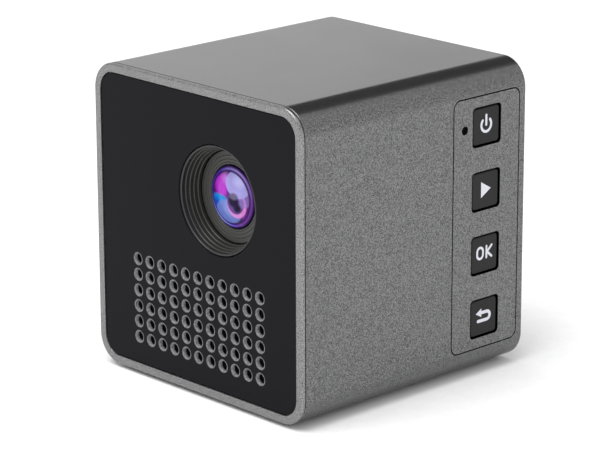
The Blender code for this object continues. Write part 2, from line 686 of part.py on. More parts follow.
def focus_drive():
    """The thumb wheel in the left wall, its axle, the ring that it turns and the plate that holds them."""
    dial_centre = (DIAL_X, LENS_Z)
    dial_origin = (DIAL_X, (DIAL_FRONT + DIAL_BACK) / 2, LENS_Z)
    wheel = prism(gear_outline(DIAL_TEETH, 0.0), "Y", DIAL_FRONT, DIAL_BACK, dial_centre)
    dial = make_part("focus_dial", wheel, "dark_plastic", dial_origin)
    cut(dial, rod("Y", dial_centre, DIAL_FRONT - CUT_PAST, DIAL_BACK + CUT_PAST, AXLE_R + 0.08 * MM, 24))
    axle_back = MOUNT_BACK - 0.3 * MM
    axle = rod("Y", dial_centre, DIAL_FRONT - 0.5 * MM, axle_back, AXLE_R, 24)
    make_part("dial_axle", axle, "steel", (DIAL_X, DIAL_FRONT, LENS_Z))

    ring_origin = (LENS_X, (RING_FRONT + RING_BACK) / 2, LENS_Z)
    phase = math.pi + math.pi / RING_TEETH
    gear = prism(gear_outline(RING_TEETH, phase), "Y", RING_FRONT, RING_BACK, LENS)
    ring = make_part("focus_ring", gear, "dark_plastic", ring_origin)
    cut(ring, rod("Y", LENS, RING_FRONT - CUT_PAST, RING_BACK + CUT_PAST, CELL_R + RUNNING_GAP, 32))

    low = (DIAL_X - MOUNT_MARGIN_LEFT, MOUNT_FRONT, LENS_Z - MOUNT_HALF_HEIGHT)
    high = (LENS_X + CELL_R + MOUNT_MARGIN_RIGHT, MOUNT_BACK, LENS_Z + MOUNT_HALF_HEIGHT)
    plate = make_part("lens_mount", box(low, high), "dark_plastic")
    collar_front = RING_BACK + REST_GAP
    collar_back = CELL_BACK + 0.3 * MM
    join(plate, rod("Y", LENS, collar_front, collar_back, CELL_R + COLLAR_WALL, 32))
    posts = bmesh.new()
    for side in (-1, 1):
        for level in (-1, 1):
            x = LENS_X + side * (CELL_R + POST_OUTSET)
            z = LENS_Z + level * POST_RISE
            post_low = (x - POST_HALF, MOUNT_FRONT + MOUNT_THICKNESS / 3, z - POST_HALF)
            box(post_low, (x + POST_HALF, ENGINE_FRONT - SEAM, z + POST_HALF), posts)
    join(plate, posts)
    bores = rod("Y", LENS, collar_front - CUT_PAST, collar_back + CUT_PAST, CELL_R + RUNNING_GAP, 32)
    rod("Y", dial_centre, MOUNT_FRONT - CUT_PAST, MOUNT_BACK + CUT_PAST, AXLE_R + RUNNING_GAP, 24, bores)
    cut(plate, bores)


def key_plate():
    """The plate let into the right wall, following the casing's outline, with four key openings."""
    section = [(0.0, KEY_PLATE_Y - KEY_PLATE_DEPTH), (0.0, KEY_PLATE_Y + KEY_PLATE_DEPTH)]
    section += [(WALL, y) for _, y in reversed(section)]
    part = make_part("key_plate", loft(body_loops(section), ring=True), "grey_paint")
    combine(part, key_plate_prism(0.0), "INTERSECT")
    opening = rounded_rectangle(KEY_OPENING, KEY_OPENING, KEY_RADIUS, steps=3)
    holes = bmesh.new()
    for rise in KEY_RISES.values():
        centre = (KEY_PLATE_Y, MIDDLE_Z + rise)
        prism(opening, "X", PLATE_BACK_X - CUT_PAST, RIGHT_X + CUT_PAST, centre, holes)
    status_centre = (STATUS_Y, MIDDLE_Z + KEY_RISES["power"])
    rod("X", status_centre, PLATE_BACK_X - CUT_PAST, RIGHT_X + CUT_PAST, STATUS_R, 16, holes)
    cut(part, holes)


def keys():
    """Four square keys, each with a flange behind the plate and the plunger of its switch."""
    cap_radius = KEY_RADIUS - KEY_CLEARANCE + 0.2 * MM
    flange_size = KEY_OPENING + 2 * KEY_FLANGE
    for name, rise in KEY_RISES.items():
        centre = (KEY_PLATE_Y, MIDDLE_Z + rise)
        steps = [
            (flange_size, FLANGE_IN_X),
            (flange_size, FLANGE_OUT_X),
            (KEY_CAP, FLANGE_OUT_X),
            (KEY_CAP, KEY_FRONT_X - 0.15 * MM),
            (KEY_CAP - 0.3 * MM, KEY_FRONT_X),
        ]
        loops = [placed(rounded_rectangle(size, size, cap_radius, 3), "X", x, centre) for size, x in steps]
        origin = (KEY_FRONT_X, *centre)
        key = make_part(f"{name}_key", loft(loops), "key_grey", origin)
        plunger = rod("X", centre, PLUNGER_END_X, PLUNGER_TOP_X, PLUNGER_R, 12)
        make_part(f"{name}_plunger", plunger, "clear", (PLUNGER_TOP_X, *centre), key)
        low = (SWITCH_BASE_X, centre[0] - SWITCH_SIZE / 2, centre[1] - SWITCH_SIZE / 2)
        high = (SWITCH_TOP_X, centre[0] + SWITCH_SIZE / 2, centre[1] + SWITCH_SIZE / 2)
        switch = make_part(f"{name}_switch", box(low, high), "steel")
        bore_floor = SWITCH_BASE_X + SWITCH_FLOOR
        cut(switch, rod("X", centre, bore_floor, SWITCH_TOP_X + CUT_PAST, PLUNGER_R + 0.2 * MM, 12))


def key_electronics():
    """The board behind the keys, its flexible lead to the main board, and the status light's pipe."""
    half = KEY_BOARD_WIDTH / 2
    reach = 1.5 * KEY_PITCH + SWITCH_SIZE / 2 + 0.3 * MM
    low = (KEY_BOARD_IN_X, KEY_PLATE_Y - half + 0.3 * MM, MIDDLE_Z - reach)
    high = (KEY_BOARD_OUT_X, KEY_PLATE_Y + half, MIDDLE_Z + reach)
    make_part("key_board", box(low, high), "board_green")
    flex = FLEX_THICKNESS
    top = BOARD_TOP_Z + FLEX_RISE
    right = KEY_BOARD_IN_X - SEAM
    foot_z = BOARD_TOP_Z + SEAM
    outline = [(right, foot_z), (right, top), (right - flex, top), (right - flex, foot_z + flex)]
    outline += [(right - 3.0 * MM, foot_z + flex), (right - 3.0 * MM, foot_z)]
    make_part("key_flex", prism(outline, "Y", FLEX_FRONT, FLEX_FRONT + FLEX_WIDTH, (0.0, 0.0)), "amber")
    status_centre = (STATUS_Y, MIDDLE_Z + KEY_RISES["power"])
    pipe = rod("X", status_centre, KEY_BOARD_OUT_X + REST_GAP, RIGHT_X - 0.1 * MM, STATUS_R - STATUS_GAP, 12)
    make_part("status_lens", pipe, "clear")


def light_engine():
    """The light engine's tray and lid, with light sources, mirrors, lens array, prism and chip inside."""
    low = Vector((ENGINE_LEFT_X, ENGINE_FRONT, ENGINE_FLOOR_Z))
    high = Vector((ENGINE_RIGHT_X, ENGINE_BACK, ENGINE_RIM_Z))
    wall = Vector((ENGINE_WALL, ENGINE_WALL, ENGINE_WALL))
    tray = make_part("engine_base", box(low, high), "aluminium")
    cut(tray, box(low + wall, high + Vector((-ENGINE_WALL, -ENGINE_WALL, MM))))
    cut(tray, rod("Y", LENS, ENGINE_FRONT - CUT_PAST, ENGINE_FRONT + 2 * ENGINE_WALL, LIGHT_PORT_R, 24))
    lid_low = (ENGINE_LEFT_X, ENGINE_FRONT, ENGINE_RIM_Z + SEAM)
    lid_high = (ENGINE_RIGHT_X, ENGINE_BACK, ENGINE_RIM_Z + SEAM + LID_THICKNESS)
    make_part("engine_lid", bevelled_box(lid_low, lid_high, 0.3 * MM), "aluminium")

    half = PRISM_SIZE / 2
    slant = (half - PRISM_CHAMFER, PRISM_FRONT), (half, PRISM_FRONT + PRISM_CHAMFER)
    outline = [(-half, PRISM_FRONT), *slant]
    outline += [(half, PRISM_BACK), (-half, PRISM_BACK)]
    prism_low = LENS_Z - half
    make_part("tir_prism", prism(outline, "Z", prism_low, LENS_Z + half, (LENS_X, 0.0)), "glass")
    chip_low = (LENS_X - CHIP_WIDTH / 2, CHIP_FRONT, LENS_Z - CHIP_HEIGHT / 2)
    chip_high = (LENS_X + CHIP_WIDTH / 2, CHIP_BACK, LENS_Z + CHIP_HEIGHT / 2)
    make_part("dmd_chip", bevelled_box(chip_low, chip_high, SOFT_EDGE), "steel")
    board_x = LENS_X + CHIP_BOARD_SHIFT[0]
    board_z = LENS_Z + CHIP_BOARD_SHIFT[1]
    board_front = CHIP_BACK + REST_GAP
    board_low = (board_x - CHIP_BOARD_WIDTH / 2, board_front, board_z - CHIP_BOARD_HEIGHT / 2)
    board_high = (board_x + CHIP_BOARD_WIDTH / 2, board_front + BOARD_THICKNESS, board_z + CHIP_BOARD_HEIGHT / 2)
    make_part("dmd_board", box(board_low, board_high), "board_green")

    eye = FLY_EYE_SIZE / 2
    low = (FLY_EYE_X, MIRROR_FRONT_Y - eye, LENS_Z - eye)
    high = (FLY_EYE_X + FLY_EYE_THICKNESS, MIRROR_FRONT_Y + eye, LENS_Z + eye)
    array = box(low, high)
    across = [edge for edge in array.edges if abs(edge.verts[0].co.x - edge.verts[1].co.x) < 0.1 * MM]
    bmesh.ops.subdivide_edges(array, edges=across, cuts=3, use_grid_fill=True)
    array.faces.ensure_lookup_table()
    lenslets = [face for face in array.faces if abs(face.normal.x) > 0.9]
    bmesh.ops.inset_individual(array, faces=lenslets, thickness=0.4 * MM, depth=0.15 * MM)
    make_part("fly_eye_lens", array, "glass")

    mirror_places = {"dichroic_front": MIRROR_FRONT_Y, "dichroic_rear": MIRROR_FRONT_Y + MIRROR_SPACING}
    for name, y in mirror_places.items():
        size = (MIRROR_LENGTH / 2, MIRROR_THICKNESS / 2, MIRROR_LENGTH / 2)
        mirror = box([-value for value in size], size)
        obj = make_part(name, mirror, "glass")
        obj.location = (MIRROR_X, y, LENS_Z)
        obj.rotation_euler.z = math.radians(45.0)
    wall_x = ENGINE_RIGHT_X - ENGINE_WALL - SEAM
    wall_y = ENGINE_BACK - ENGINE_WALL - SEAM
    light_source("red_led", "red", "X", wall_x, (MIRROR_FRONT_Y, LENS_Z))
    light_source("blue_led", "blue", "X", wall_x, (MIRROR_FRONT_Y + MIRROR_SPACING, LENS_Z))
    light_source("green_led", "green", "Y", wall_y, (MIRROR_X, LENS_Z))


def light_source(name, finish, axis, back, centre):
    """One LED: a square carrier with a raised emitter, facing down its axis."""
    sizes = [
        (LED_SIZE, back),
        (LED_SIZE, back - LED_THICKNESS),
        (LED_SIZE - 2 * LED_MARGIN, back - LED_THICKNESS),
        (LED_SIZE - 2 * LED_MARGIN - LED_DOME, back - LED_THICKNESS - LED_DOME),
    ]
    loops = [placed(rounded_rectangle(size, size, 0.3 * MM, 2), axis, along, centre) for size, along in sizes]
    make_part(name, loft(loops), finish)


def cooling():
    """The finned heat sink behind the engine and the fan behind that."""
    half = SINK_WIDTH / 2
    pitch = (SINK_WIDTH - FIN_THICKNESS) / (FIN_COUNT - 1)
    outline = [(half, SINK_FRONT), (-half, SINK_FRONT)]
    for fin in range(FIN_COUNT):
        left = -half + fin * pitch
        outline += [(left, SINK_BACK), (left + FIN_THICKNESS, SINK_BACK)]
        if fin < FIN_COUNT - 1:
            root = SINK_FRONT + SINK_BASE
            outline += [(left + FIN_THICKNESS, root), (left + pitch, root)]
    centre = (FAN_X, 0.0)
    sink = prism(outline, "Z", FAN_Z - SINK_HEIGHT / 2, FAN_Z + SINK_HEIGHT / 2, centre)
    make_part("heat_sink", sink, "aluminium")

    fan_centre = (FAN_X, FAN_Z)
    shell = prism(rounded_rectangle(FAN_SIZE, FAN_SIZE, 2.0 * MM, 3), "Y", FAN_FRONT, FAN_BACK, fan_centre)
    frame = make_part("fan_frame", shell, "dark_plastic")
    cut(frame, rod("Y", fan_centre, FAN_FRONT - CUT_PAST, FAN_BACK + CUT_PAST, FAN_BORE_R, 32))
    strut_front = FAN_BACK - STRUT_THICKNESS
    join(frame, rod("Y", fan_centre, strut_front, FAN_BACK, FAN_HUB_R, 20))
    for turn in (90.0, 210.0, 330.0):
        strut = box((0.0, strut_front, -STRUT_HALF), (FAN_BORE_R + FAN_PLAY, FAN_BACK, STRUT_HALF))
        place = Matrix.Translation((FAN_X, 0.0, FAN_Z)) @ Matrix.Rotation(math.radians(turn), 4, "Y")
        bmesh.ops.transform(strut, matrix=place, verts=strut.verts)
        join(frame, strut)
    cut(frame, rod("Y", fan_centre, strut_front - CUT_PAST, FAN_BACK + CUT_PAST, 0.85 * MM, 12))

    rotor_front = FAN_FRONT + FAN_PLAY
    rotor_back = strut_front - FAN_PLAY
    profile = [(0.0, rotor_front), (FAN_HUB_R - 0.4 * MM, rotor_front), (FAN_HUB_R, rotor_front + 0.4 * MM)]
    profile += [(FAN_HUB_R, rotor_back), (0.75 * MM, rotor_back), (0.75 * MM, FAN_BACK - 0.3 * MM)]
    profile += [(0.0, FAN_BACK - 0.3 * MM)]
    origin = (FAN_X, (rotor_front + rotor_back) / 2, FAN_Z)
    rotor = make_part("fan_rotor", turned(profile, "Y", fan_centre, 20), "dark_plastic", origin)
    blades = bmesh.new()
    for blade in range(FAN_BLADES):
        low = (FAN_HUB_R - 0.6 * MM, -0.3 * MM, -BLADE_HALF)
        piece = box(low, (FAN_BORE_R - FAN_TIP_GAP, 0.3 * MM, BLADE_HALF))
        turn = Matrix.Rotation(2 * math.pi * blade / FAN_BLADES, 4, "Y")
        pitch_turn = Matrix.Rotation(math.radians(38.0), 4, "X")
        place = Matrix.Translation(origin) @ turn @ pitch_turn
        bmesh.ops.transform(piece, matrix=place, verts=piece.verts)
        mesh = bpy.data.meshes.new("blade")
        piece.to_mesh(mesh)
        piece.free()
        blades.from_mesh(mesh)
        bpy.data.meshes.remove(mesh)
    join(rotor, blades)


def hollow_block(low, high, rim, depth):
    """A connector shell: a block whose rear face is sunk inside a rim."""
    bm = box(low, high)
    bm.faces.ensure_lookup_table()
    rear = max(bm.faces, key=lambda face: face.calc_center_median().y)
    bmesh.ops.inset_region(bm, faces=[rear], thickness=rim)
    bmesh.ops.translate(bm, verts=rear.verts, vec=(0.0, -depth, 0.0))
    return bm


def electronics():
    """The main board with its processor and sockets."""
    low = (BOARD_LEFT_X, -MAIN_BOARD_FRONT, BOARD_BOTTOM_Z)
    make_part("main_board", box(low, (BOARD_RIGHT_X, COVER_FRONT - 1.4 * MM, BOARD_TOP_Z)), "board_green")
    half = PROCESSOR_SIZE / 2
    bottom = BOARD_TOP_Z + SEAM
    low = (PROCESSOR_X - half, PROCESSOR_Y - half, bottom)
    high = (PROCESSOR_X + half, PROCESSOR_Y + half, bottom + PROCESSOR_THICKNESS)
    chip = bevelled_box(low, high, SOFT_EDGE)
    make_part("processor", chip, "dark_plastic")
    mouth = COVER_FRONT + 0.8 * COVER_THICKNESS
    for name, (x, width, height) in PORTS.items():
        low = (x - width / 2, mouth - PORT_DEPTH, PORTS_Z)
        shell = hollow_block(low, (x + width / 2, mouth, PORTS_Z + height), PORT_RIM, PORT_HOLLOW)
        make_part(f"{name}_socket", shell, "steel")
    low = (AUDIO_X - AUDIO_BODY / 2, mouth - AUDIO_LENGTH, PORTS_Z)
    body = bevelled_box(low, (AUDIO_X + AUDIO_BODY / 2, COVER_FRONT - SEAM, PORTS_Z + AUDIO_BODY), 0.2 * MM)
    jack = make_part("audio_jack", body, "dark_plastic")
    centre = (AUDIO_X, PORTS_Z + AUDIO_BODY / 2)
    join(jack, rod("Y", centre, COVER_FRONT - CUT_PAST, mouth, AUDIO_NOSE_R - 0.1 * MM, 20))
    cut(jack, rod("Y", centre, mouth - AUDIO_BORE_DEPTH, mouth + CUT_PAST, AUDIO_BORE_R, 20))


def rear_cover():
    """The rear cover with its fan grille, socket holes and countersunk screws."""
    inset = WALL + SEAM
    section = [(inset, COVER_FRONT), (inset, COVER_BACK)]
    part = make_part("rear_cover", loft(body_loops(section)), "dark_plastic")
    holes = bmesh.new()
    for slot in range(VENT_SLOTS):
        z = FAN_Z + (slot - (VENT_SLOTS - 1) / 2) * VENT_PITCH
        low = (FAN_X - VENT_WIDTH / 2, COVER_FRONT - CUT_PAST, z - VENT_HEIGHT / 2)
        box(low, (FAN_X + VENT_WIDTH / 2, COVER_BACK + CUT_PAST, z + VENT_HEIGHT / 2), holes)
    for x, width, height in PORTS.values():
        outline = rounded_rectangle(width + 2 * PORT_CLEARANCE, height + 2 * PORT_CLEARANCE, 0.8 * MM, 3)
        prism(outline, "Y", COVER_FRONT - CUT_PAST, COVER_BACK + CUT_PAST, (x, PORTS_Z + height / 2), holes)
    nose = (AUDIO_X, PORTS_Z + AUDIO_BODY / 2)
    rod("Y", nose, COVER_FRONT - CUT_PAST, COVER_BACK + CUT_PAST, AUDIO_NOSE_R + PORT_CLEARANCE, 20, holes)
    for place in corner_places().values():
        rod("Y", place, COVER_FRONT - CUT_PAST, COVER_BACK + CUT_PAST, SCREW_R + RUNNING_GAP, 12, holes)
    cut(part, holes)
    sinks = bmesh.new()
    sink_y = COVER_BACK - SCREW_SINK
    for place in corner_places().values():
        rod("Y", place, sink_y, COVER_BACK + CUT_PAST, SCREW_HEAD_R + SEAM, 16, sinks)
    cut(part, sinks)
    head_front = sink_y + RUNNING_GAP
    for name, place in corner_places().items():
        profile = [
            (0.0, head_front - SCREW_LENGTH),
            (SCREW_R, head_front - SCREW_LENGTH),
            (SCREW_R, head_front),
            (SCREW_HEAD_R, head_front),
            (SCREW_HEAD_R, COVER_BACK - 0.2 * MM),
            (SCREW_HEAD_R - 0.2 * MM, COVER_BACK - 0.05 * MM),
            (0.6 * MM, COVER_BACK - 0.05 * MM),
            (0.0, COVER_BACK - 0.45 * MM),
        ]
        make_part(f"screw_{name}", turned(profile, "Y", place, 12), "steel")


def power():
    """The battery in its chassis tray."""
    low = (-BATTERY_WIDTH / 2, -BATTERY_FRONT, BATTERY_BOTTOM_Z)
    high = (BATTERY_WIDTH / 2, -BATTERY_FRONT + BATTERY_LENGTH, BATTERY_BOTTOM_Z + BATTERY_HEIGHT)
    make_part("battery", bevelled_box(low, high, 0.8 * MM), "foil")
    inner = CHASSIS_INNER
    outer = inner + CHASSIS_WALL
    floor = CHASSIS_BOTTOM_Z + CHASSIS_WALL
    outline = [(-outer, CHASSIS_BOTTOM_Z), (outer, CHASSIS_BOTTOM_Z), (outer, CHASSIS_TOP_Z)]
    outline += [(inner, CHASSIS_TOP_Z), (inner, floor), (-inner, floor)]
    outline += [(-inner, CHASSIS_TOP_Z), (-outer, CHASSIS_TOP_Z)]
    back = COVER_FRONT - BOSS_LENGTH - 1.0 * MM
    make_part("chassis", prism(outline, "Y", -BATTERY_FRONT - CUT_PAST, back, (0.0, 0.0)), "aluminium")


def base():
    """The rubber pad underneath and the brass tripod socket that it leaves open."""
    pad_top = BASE_Z + PAD_RECESS - RUNNING_GAP
    outline = rounded_rectangle(PAD_SIZE, PAD_SIZE, PAD_RADIUS)
    pad = make_part("base_pad", prism(outline, "Z", 0.0, pad_top, (0.0, 0.0)), "rubber")
    cut(pad, rod("Z", (0.0, 0.0), -MM, pad_top + CUT_PAST, PAD_HOLE_R, 32))
    hexagon = prism(circle(NUT_R, 6), "Z", NUT_BOTTOM_Z, NUT_TOP_Z, (0.0, 0.0))
    nut = make_part("tripod_nut", hexagon, "brass")
    join(nut, rod("Z", (0.0, 0.0), BASE_Z + SEAM, NUT_BOTTOM_Z + 0.5 * MM, NECK_R, 24))
    cut(nut, rod("Z", (0.0, 0.0), 0.0, NUT_TOP_Z + CUT_PAST, THREAD_R, 24))


def speaker():
    """The loudspeaker behind the grille: mesh, frame, moving cone with its coil, and magnet."""
    centre = (0.0, GRILLE_Z)
    half_x = GRILLE_PITCH_X * (GRILLE_COLUMNS - 1) / 2 + GRILLE_HOLE_R + 0.4 * MM
    half_z = GRILLE_PITCH_Z * (GRILLE_ROWS - 1) / 2 + GRILLE_HOLE_R + 0.4 * MM
    low = (-half_x, MESH_FRONT, GRILLE_Z - half_z)
    make_part("speaker_mesh", box(low, (half_x, MESH_FRONT + MESH_THICKNESS, GRILLE_Z + half_z)), "cloth")

    shell = rounded_rectangle(SPEAKER_WIDTH, SPEAKER_HEIGHT, 4.0 * MM, 4)
    frame = make_part(
        "speaker_frame", prism(shell, "Y", SPEAKER_FRONT, SPEAKER_BACK, centre), "dark_plastic"
    )
    width = SPEAKER_WIDTH - 2 * SPEAKER_RIM
    height = SPEAKER_HEIGHT - 2 * SPEAKER_RIM
    inner = rounded_rectangle(width, height, 3.0 * MM, 4)
    cut(frame, prism(inner, "Y", SPEAKER_FRONT - CUT_PAST, SPEAKER_BACK - 0.8 * MM, centre))
    cut(frame, rod("Y", centre, SPEAKER_BACK - 2 * MM, SPEAKER_BACK + CUT_PAST, COIL_R + 1.1 * MM, 20))

    magnet_front = SPEAKER_BACK + SEAM
    magnet = make_part(
        "speaker_magnet",
        rod("Y", centre, magnet_front, magnet_front + MAGNET_DEPTH, MAGNET_R, 24),
        "steel",
    )
    groove = [
        (COIL_R + COIL_GAP, magnet_front - CUT_PAST),
        (COIL_R + COIL_GAP, magnet_front + COIL_SLOT),
        (COIL_R - COIL_WALL - COIL_GAP, magnet_front + COIL_SLOT),
        (COIL_R - COIL_WALL - COIL_GAP, magnet_front - CUT_PAST),
    ]
    cut(magnet, turned(groove, "Y", centre, 20))

    rim = rounded_rectangle(width - 0.6 * MM, height - 0.6 * MM, 2.7 * MM, 4)
    coil_in = circle(COIL_R - COIL_WALL, len(rim))
    coil_out = circle(COIL_R, len(rim))
    edge_y = SPEAKER_FRONT + 0.5 * MM
    bowl_y = edge_y + 1.1 * MM
    coil_end = magnet_front + 1.2 * MM
    section = [(coil_in, bowl_y), (rim, edge_y), (rim, edge_y + COIL_WALL), (coil_out, bowl_y + COIL_WALL)]
    section += [(coil_out, coil_end), (coil_in, coil_end), (coil_in, bowl_y + COIL_WALL)]
    loops = [placed(points, "Y", y, centre) for points, y in section]
    make_part("speaker_cone", loft(loops), "cloth", (0.0, edge_y, GRILLE_Z))


def main():
    """Builds every sub-part."""
    clear_scene()
    sleeve()
    front_bezel()
    front_panel()
    lens_trim()
    lens_group()
    focus_drive()
    key_plate()
    keys()
    key_electronics()
    light_engine()
    cooling()
    electronics()
    rear_cover()
    power()
    base()
    speaker()


main()
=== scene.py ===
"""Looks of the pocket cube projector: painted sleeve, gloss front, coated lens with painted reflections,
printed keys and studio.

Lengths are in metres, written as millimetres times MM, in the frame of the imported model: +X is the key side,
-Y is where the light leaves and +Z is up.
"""

import json
import logging
import math
from collections.abc import Callable, Iterable, Sequence
from dataclasses import dataclass, replace
from enum import Enum

import bmesh
import bpy
from bmesh.types import BMEdge, BMesh
from mathutils import Matrix, Vector


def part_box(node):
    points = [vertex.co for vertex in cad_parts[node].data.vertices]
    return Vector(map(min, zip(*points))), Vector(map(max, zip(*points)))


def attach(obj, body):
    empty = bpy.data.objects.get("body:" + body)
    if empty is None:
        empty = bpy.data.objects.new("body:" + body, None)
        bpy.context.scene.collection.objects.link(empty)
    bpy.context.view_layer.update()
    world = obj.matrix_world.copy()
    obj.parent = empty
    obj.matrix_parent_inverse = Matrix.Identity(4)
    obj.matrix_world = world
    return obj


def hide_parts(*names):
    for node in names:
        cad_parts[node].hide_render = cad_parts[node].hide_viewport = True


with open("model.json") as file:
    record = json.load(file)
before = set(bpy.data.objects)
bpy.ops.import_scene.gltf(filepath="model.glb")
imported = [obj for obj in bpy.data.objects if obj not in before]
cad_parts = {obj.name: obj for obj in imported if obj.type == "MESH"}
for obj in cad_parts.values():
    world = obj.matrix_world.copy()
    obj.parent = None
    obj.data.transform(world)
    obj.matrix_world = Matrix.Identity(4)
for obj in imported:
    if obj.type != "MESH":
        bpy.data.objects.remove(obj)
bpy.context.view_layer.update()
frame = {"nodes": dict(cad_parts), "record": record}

MM = 0.001
LOG = logging.getLogger("projector")
HOUSING = "housing"
FULL_TURN = 2 * math.pi
MEAN_GRAIN_HEIGHT = 0.68
GRAIN_CONTRAST = 4.0
Point = tuple[float, float]


class Axis(Enum):
    """A row axis that a shape is drawn along."""

    X = 0
    Y = 1
    Z = 2

    @property
    def direction(self) -> Vector:
        """The axis as a unit vector."""
        return Vector([float(index == self.value) for index in range(3)])

    def place(self, across: Point, along: float) -> Vector:
        """A point from its two coordinates across the axis, in X, Y, Z order, and its place along it.

        Args:
            across: the two coordinates across the axis.
            along: the coordinate along the axis.

        Returns:
            The point in the row frame.
        """
        values = list(across)
        values.insert(self.value, along)
        return Vector(values)


# ---------------------------------------------------------------- Mesh work


def arc(centre: Point, radius: float, start: float, end: float, steps: int) -> list[Point]:
    """Points on a circular arc.

    Args:
        centre: middle of the circle.
        radius: its radius.
        start: first angle in degrees.
        end: last angle in degrees.
        steps: number of stretches.

    Returns:
        The points, both ends included.
    """
    turns = [math.radians(start + (end - start) * step / steps) for step in range(steps + 1)]
    return [(centre[0] + radius * math.cos(turn), centre[1] + radius * math.sin(turn)) for turn in turns]


def block(low: Sequence[float], high: Sequence[float]) -> BMesh:
    """An upright block between two corners.

    Args:
        low: lowest corner.
        high: highest corner.

    Returns:
        The block's mesh.
    """
    bm = bmesh.new()
    size = [b - a for a, b in zip(low, high)]
    middle = [(a + b) / 2 for a, b in zip(low, high)]
    bmesh.ops.create_cube(bm, size=1.0, matrix=Matrix.Translation(middle) @ Matrix.Diagonal((*size, 1.0)))
    return bm


def bevel(bm: BMesh, edges: Iterable[BMEdge], width: float, segments: int) -> None:
    """Rounds edges.

    Args:
        bm: the mesh.
        edges: the edges to round.
        width: distance taken off each side.
        segments: number of stretches across the rounding.
    """
    bmesh.ops.bevel(
        bm, geom=list(edges), offset=width, affect="EDGES", segments=segments, profile=0.5, material=-1
    )


def edges_along(bm: BMesh, axis: Axis) -> list[BMEdge]:
    """The straight edges that run along an axis.

    Args:
        bm: the mesh.
        axis: the axis.

    Returns:
        The edges.
    """
    found = []
    for edge in bm.edges:
        run = (edge.verts[1].co - edge.verts[0].co).normalized()
        if abs(run[axis.value]) > 0.999:
            found.append(edge)
    return found


def rounded_block(
    axis: Axis, centre: Point, size: Point, span: Point, radius: float, segments: int = 8
) -> BMesh:
    """A block with round corners across an axis.

    Args:
        axis: the axis that it is drawn along.
        centre: its middle across the axis.
        size: its two sizes across the axis.
        span: its two ends along the axis.
        radius: corner radius.
        segments: stretches in each corner.

    Returns:
        The block's mesh.
    """
    low = axis.place((centre[0] - size[0] / 2, centre[1] - size[1] / 2), span[0])
    high = axis.place((centre[0] + size[0] / 2, centre[1] + size[1] / 2), span[1])
    bm = block(low, high)
    bevel(bm, edges_along(bm, axis), radius, segments)
    return bm


def cap_rim(bm: BMesh, axis: Axis, side: int) -> list[BMEdge]:
    """The edges round the flat end of a block.

    Args:
        bm: the mesh.
        axis: the axis that the end faces along.
        side: 1 for the high end and -1 for the low one.

    Returns:
        The end face's edges.
    """
    end = max(bm.faces, key=lambda face: side * face.calc_center_median()[axis.value])
    return list(end.edges)


def spun(profile: Sequence[Point], axis: Axis, centre: Point, steps: int = 96, closed: bool = True) -> BMesh:
    """A half-section of (radius, along) points turned about an axis.

    Args:
        profile: the section's points, in order.
        axis: the axis of the turning.
        centre: where the axis stands.
        steps: stretches round the turn.
        closed: whether the section's last point joins its first.

    Returns:
        The turned mesh.
    """
    bm = bmesh.new()
    verts = [bm.verts.new(axis.place((centre[0] + radius, centre[1]), along)) for radius, along in profile]
    edges = [bm.edges.new(pair) for pair in zip(verts, verts[1:])]
    if closed:
        edges.append(bm.edges.new((verts[-1], verts[0])))
    bmesh.ops.spin(
        bm, geom=verts + edges, cent=axis.place(centre, 0.0), axis=axis.direction, angle=FULL_TURN,
        steps=steps, use_merge=True,
    )
    bmesh.ops.remove_doubles(bm, verts=bm.verts, dist=0.0005 * MM)
    bmesh.ops.recalc_face_normals(bm, faces=bm.faces)
    return bm


def swept_frame(section: Sequence[Point], half: Point, centre_z: float, radius: float, closed: bool) -> BMesh:
    """A section of (inset, y) points carried round a rounded rectangle that stands across Y.

    Args:
        section: the section's points, each an inset from the outline and a place along Y.
        half: the outline's half width and half height.
        centre_z: height of the outline's middle.
        radius: the outline's corner radius.
        closed: whether the section's last point joins its first; an open one is capped.

    Returns:
        The frame's or the plate's mesh.
    """
    bm = bmesh.new()
    straight = (half[0] - radius, half[1] - radius)
    verts = [bm.verts.new((half[0] - inset, y, centre_z + straight[1])) for inset, y in section]
    edges = [bm.edges.new(pair) for pair in zip(verts, verts[1:])]
    if closed:
        edges.append(bm.edges.new((verts[-1], verts[0])))
    corners = [(1, 1, -1, 0), (-1, 1, 0, -1), (-1, -1, 1, 0), (1, -1, 0, 1)]
    last = verts + edges
    for sign_x, sign_z, run_x, run_z in corners:
        corner = (sign_x * straight[0], 0.0, centre_z + sign_z * straight[1])
        turned = bmesh.ops.spin(
            bm, geom=last, cent=corner, axis=(0.0, -1.0, 0.0), angle=math.pi / 2, steps=20
        )
        ends = [item for item in turned["geom_last"] if isinstance(item, BMEdge)]
        drawn = bmesh.ops.extrude_edge_only(bm, edges=ends)["geom"]
        moved = [item for item in drawn if isinstance(item, bmesh.types.BMVert)]
        run = Vector((2 * straight[0] * run_x, 0.0, 2 * straight[1] * run_z))
        bmesh.ops.translate(bm, verts=moved, vec=run)
        last = moved + [item for item in drawn if isinstance(item, BMEdge)]
    bmesh.ops.remove_doubles(bm, verts=bm.verts, dist=0.001 * MM)
    if not closed:
        bmesh.ops.edgeloop_fill(bm, edges=[edge for edge in bm.edges if edge.is_boundary])
    bmesh.ops.recalc_face_normals(bm, faces=bm.faces)
    return bm


def merge(shapes: Iterable[BMesh]) -> BMesh:
    """Puts separate shapes in one mesh.

    Args:
        shapes: the shapes, which are freed.

    Returns:
        The mesh that holds them all.
    """
    merged = bmesh.new()
    for shape in shapes:
        mesh = bpy.data.meshes.new("shape")
        shape.to_mesh(mesh)
        shape.free()
        merged.from_mesh(mesh)
        bpy.data.meshes.remove(mesh)
    return merged


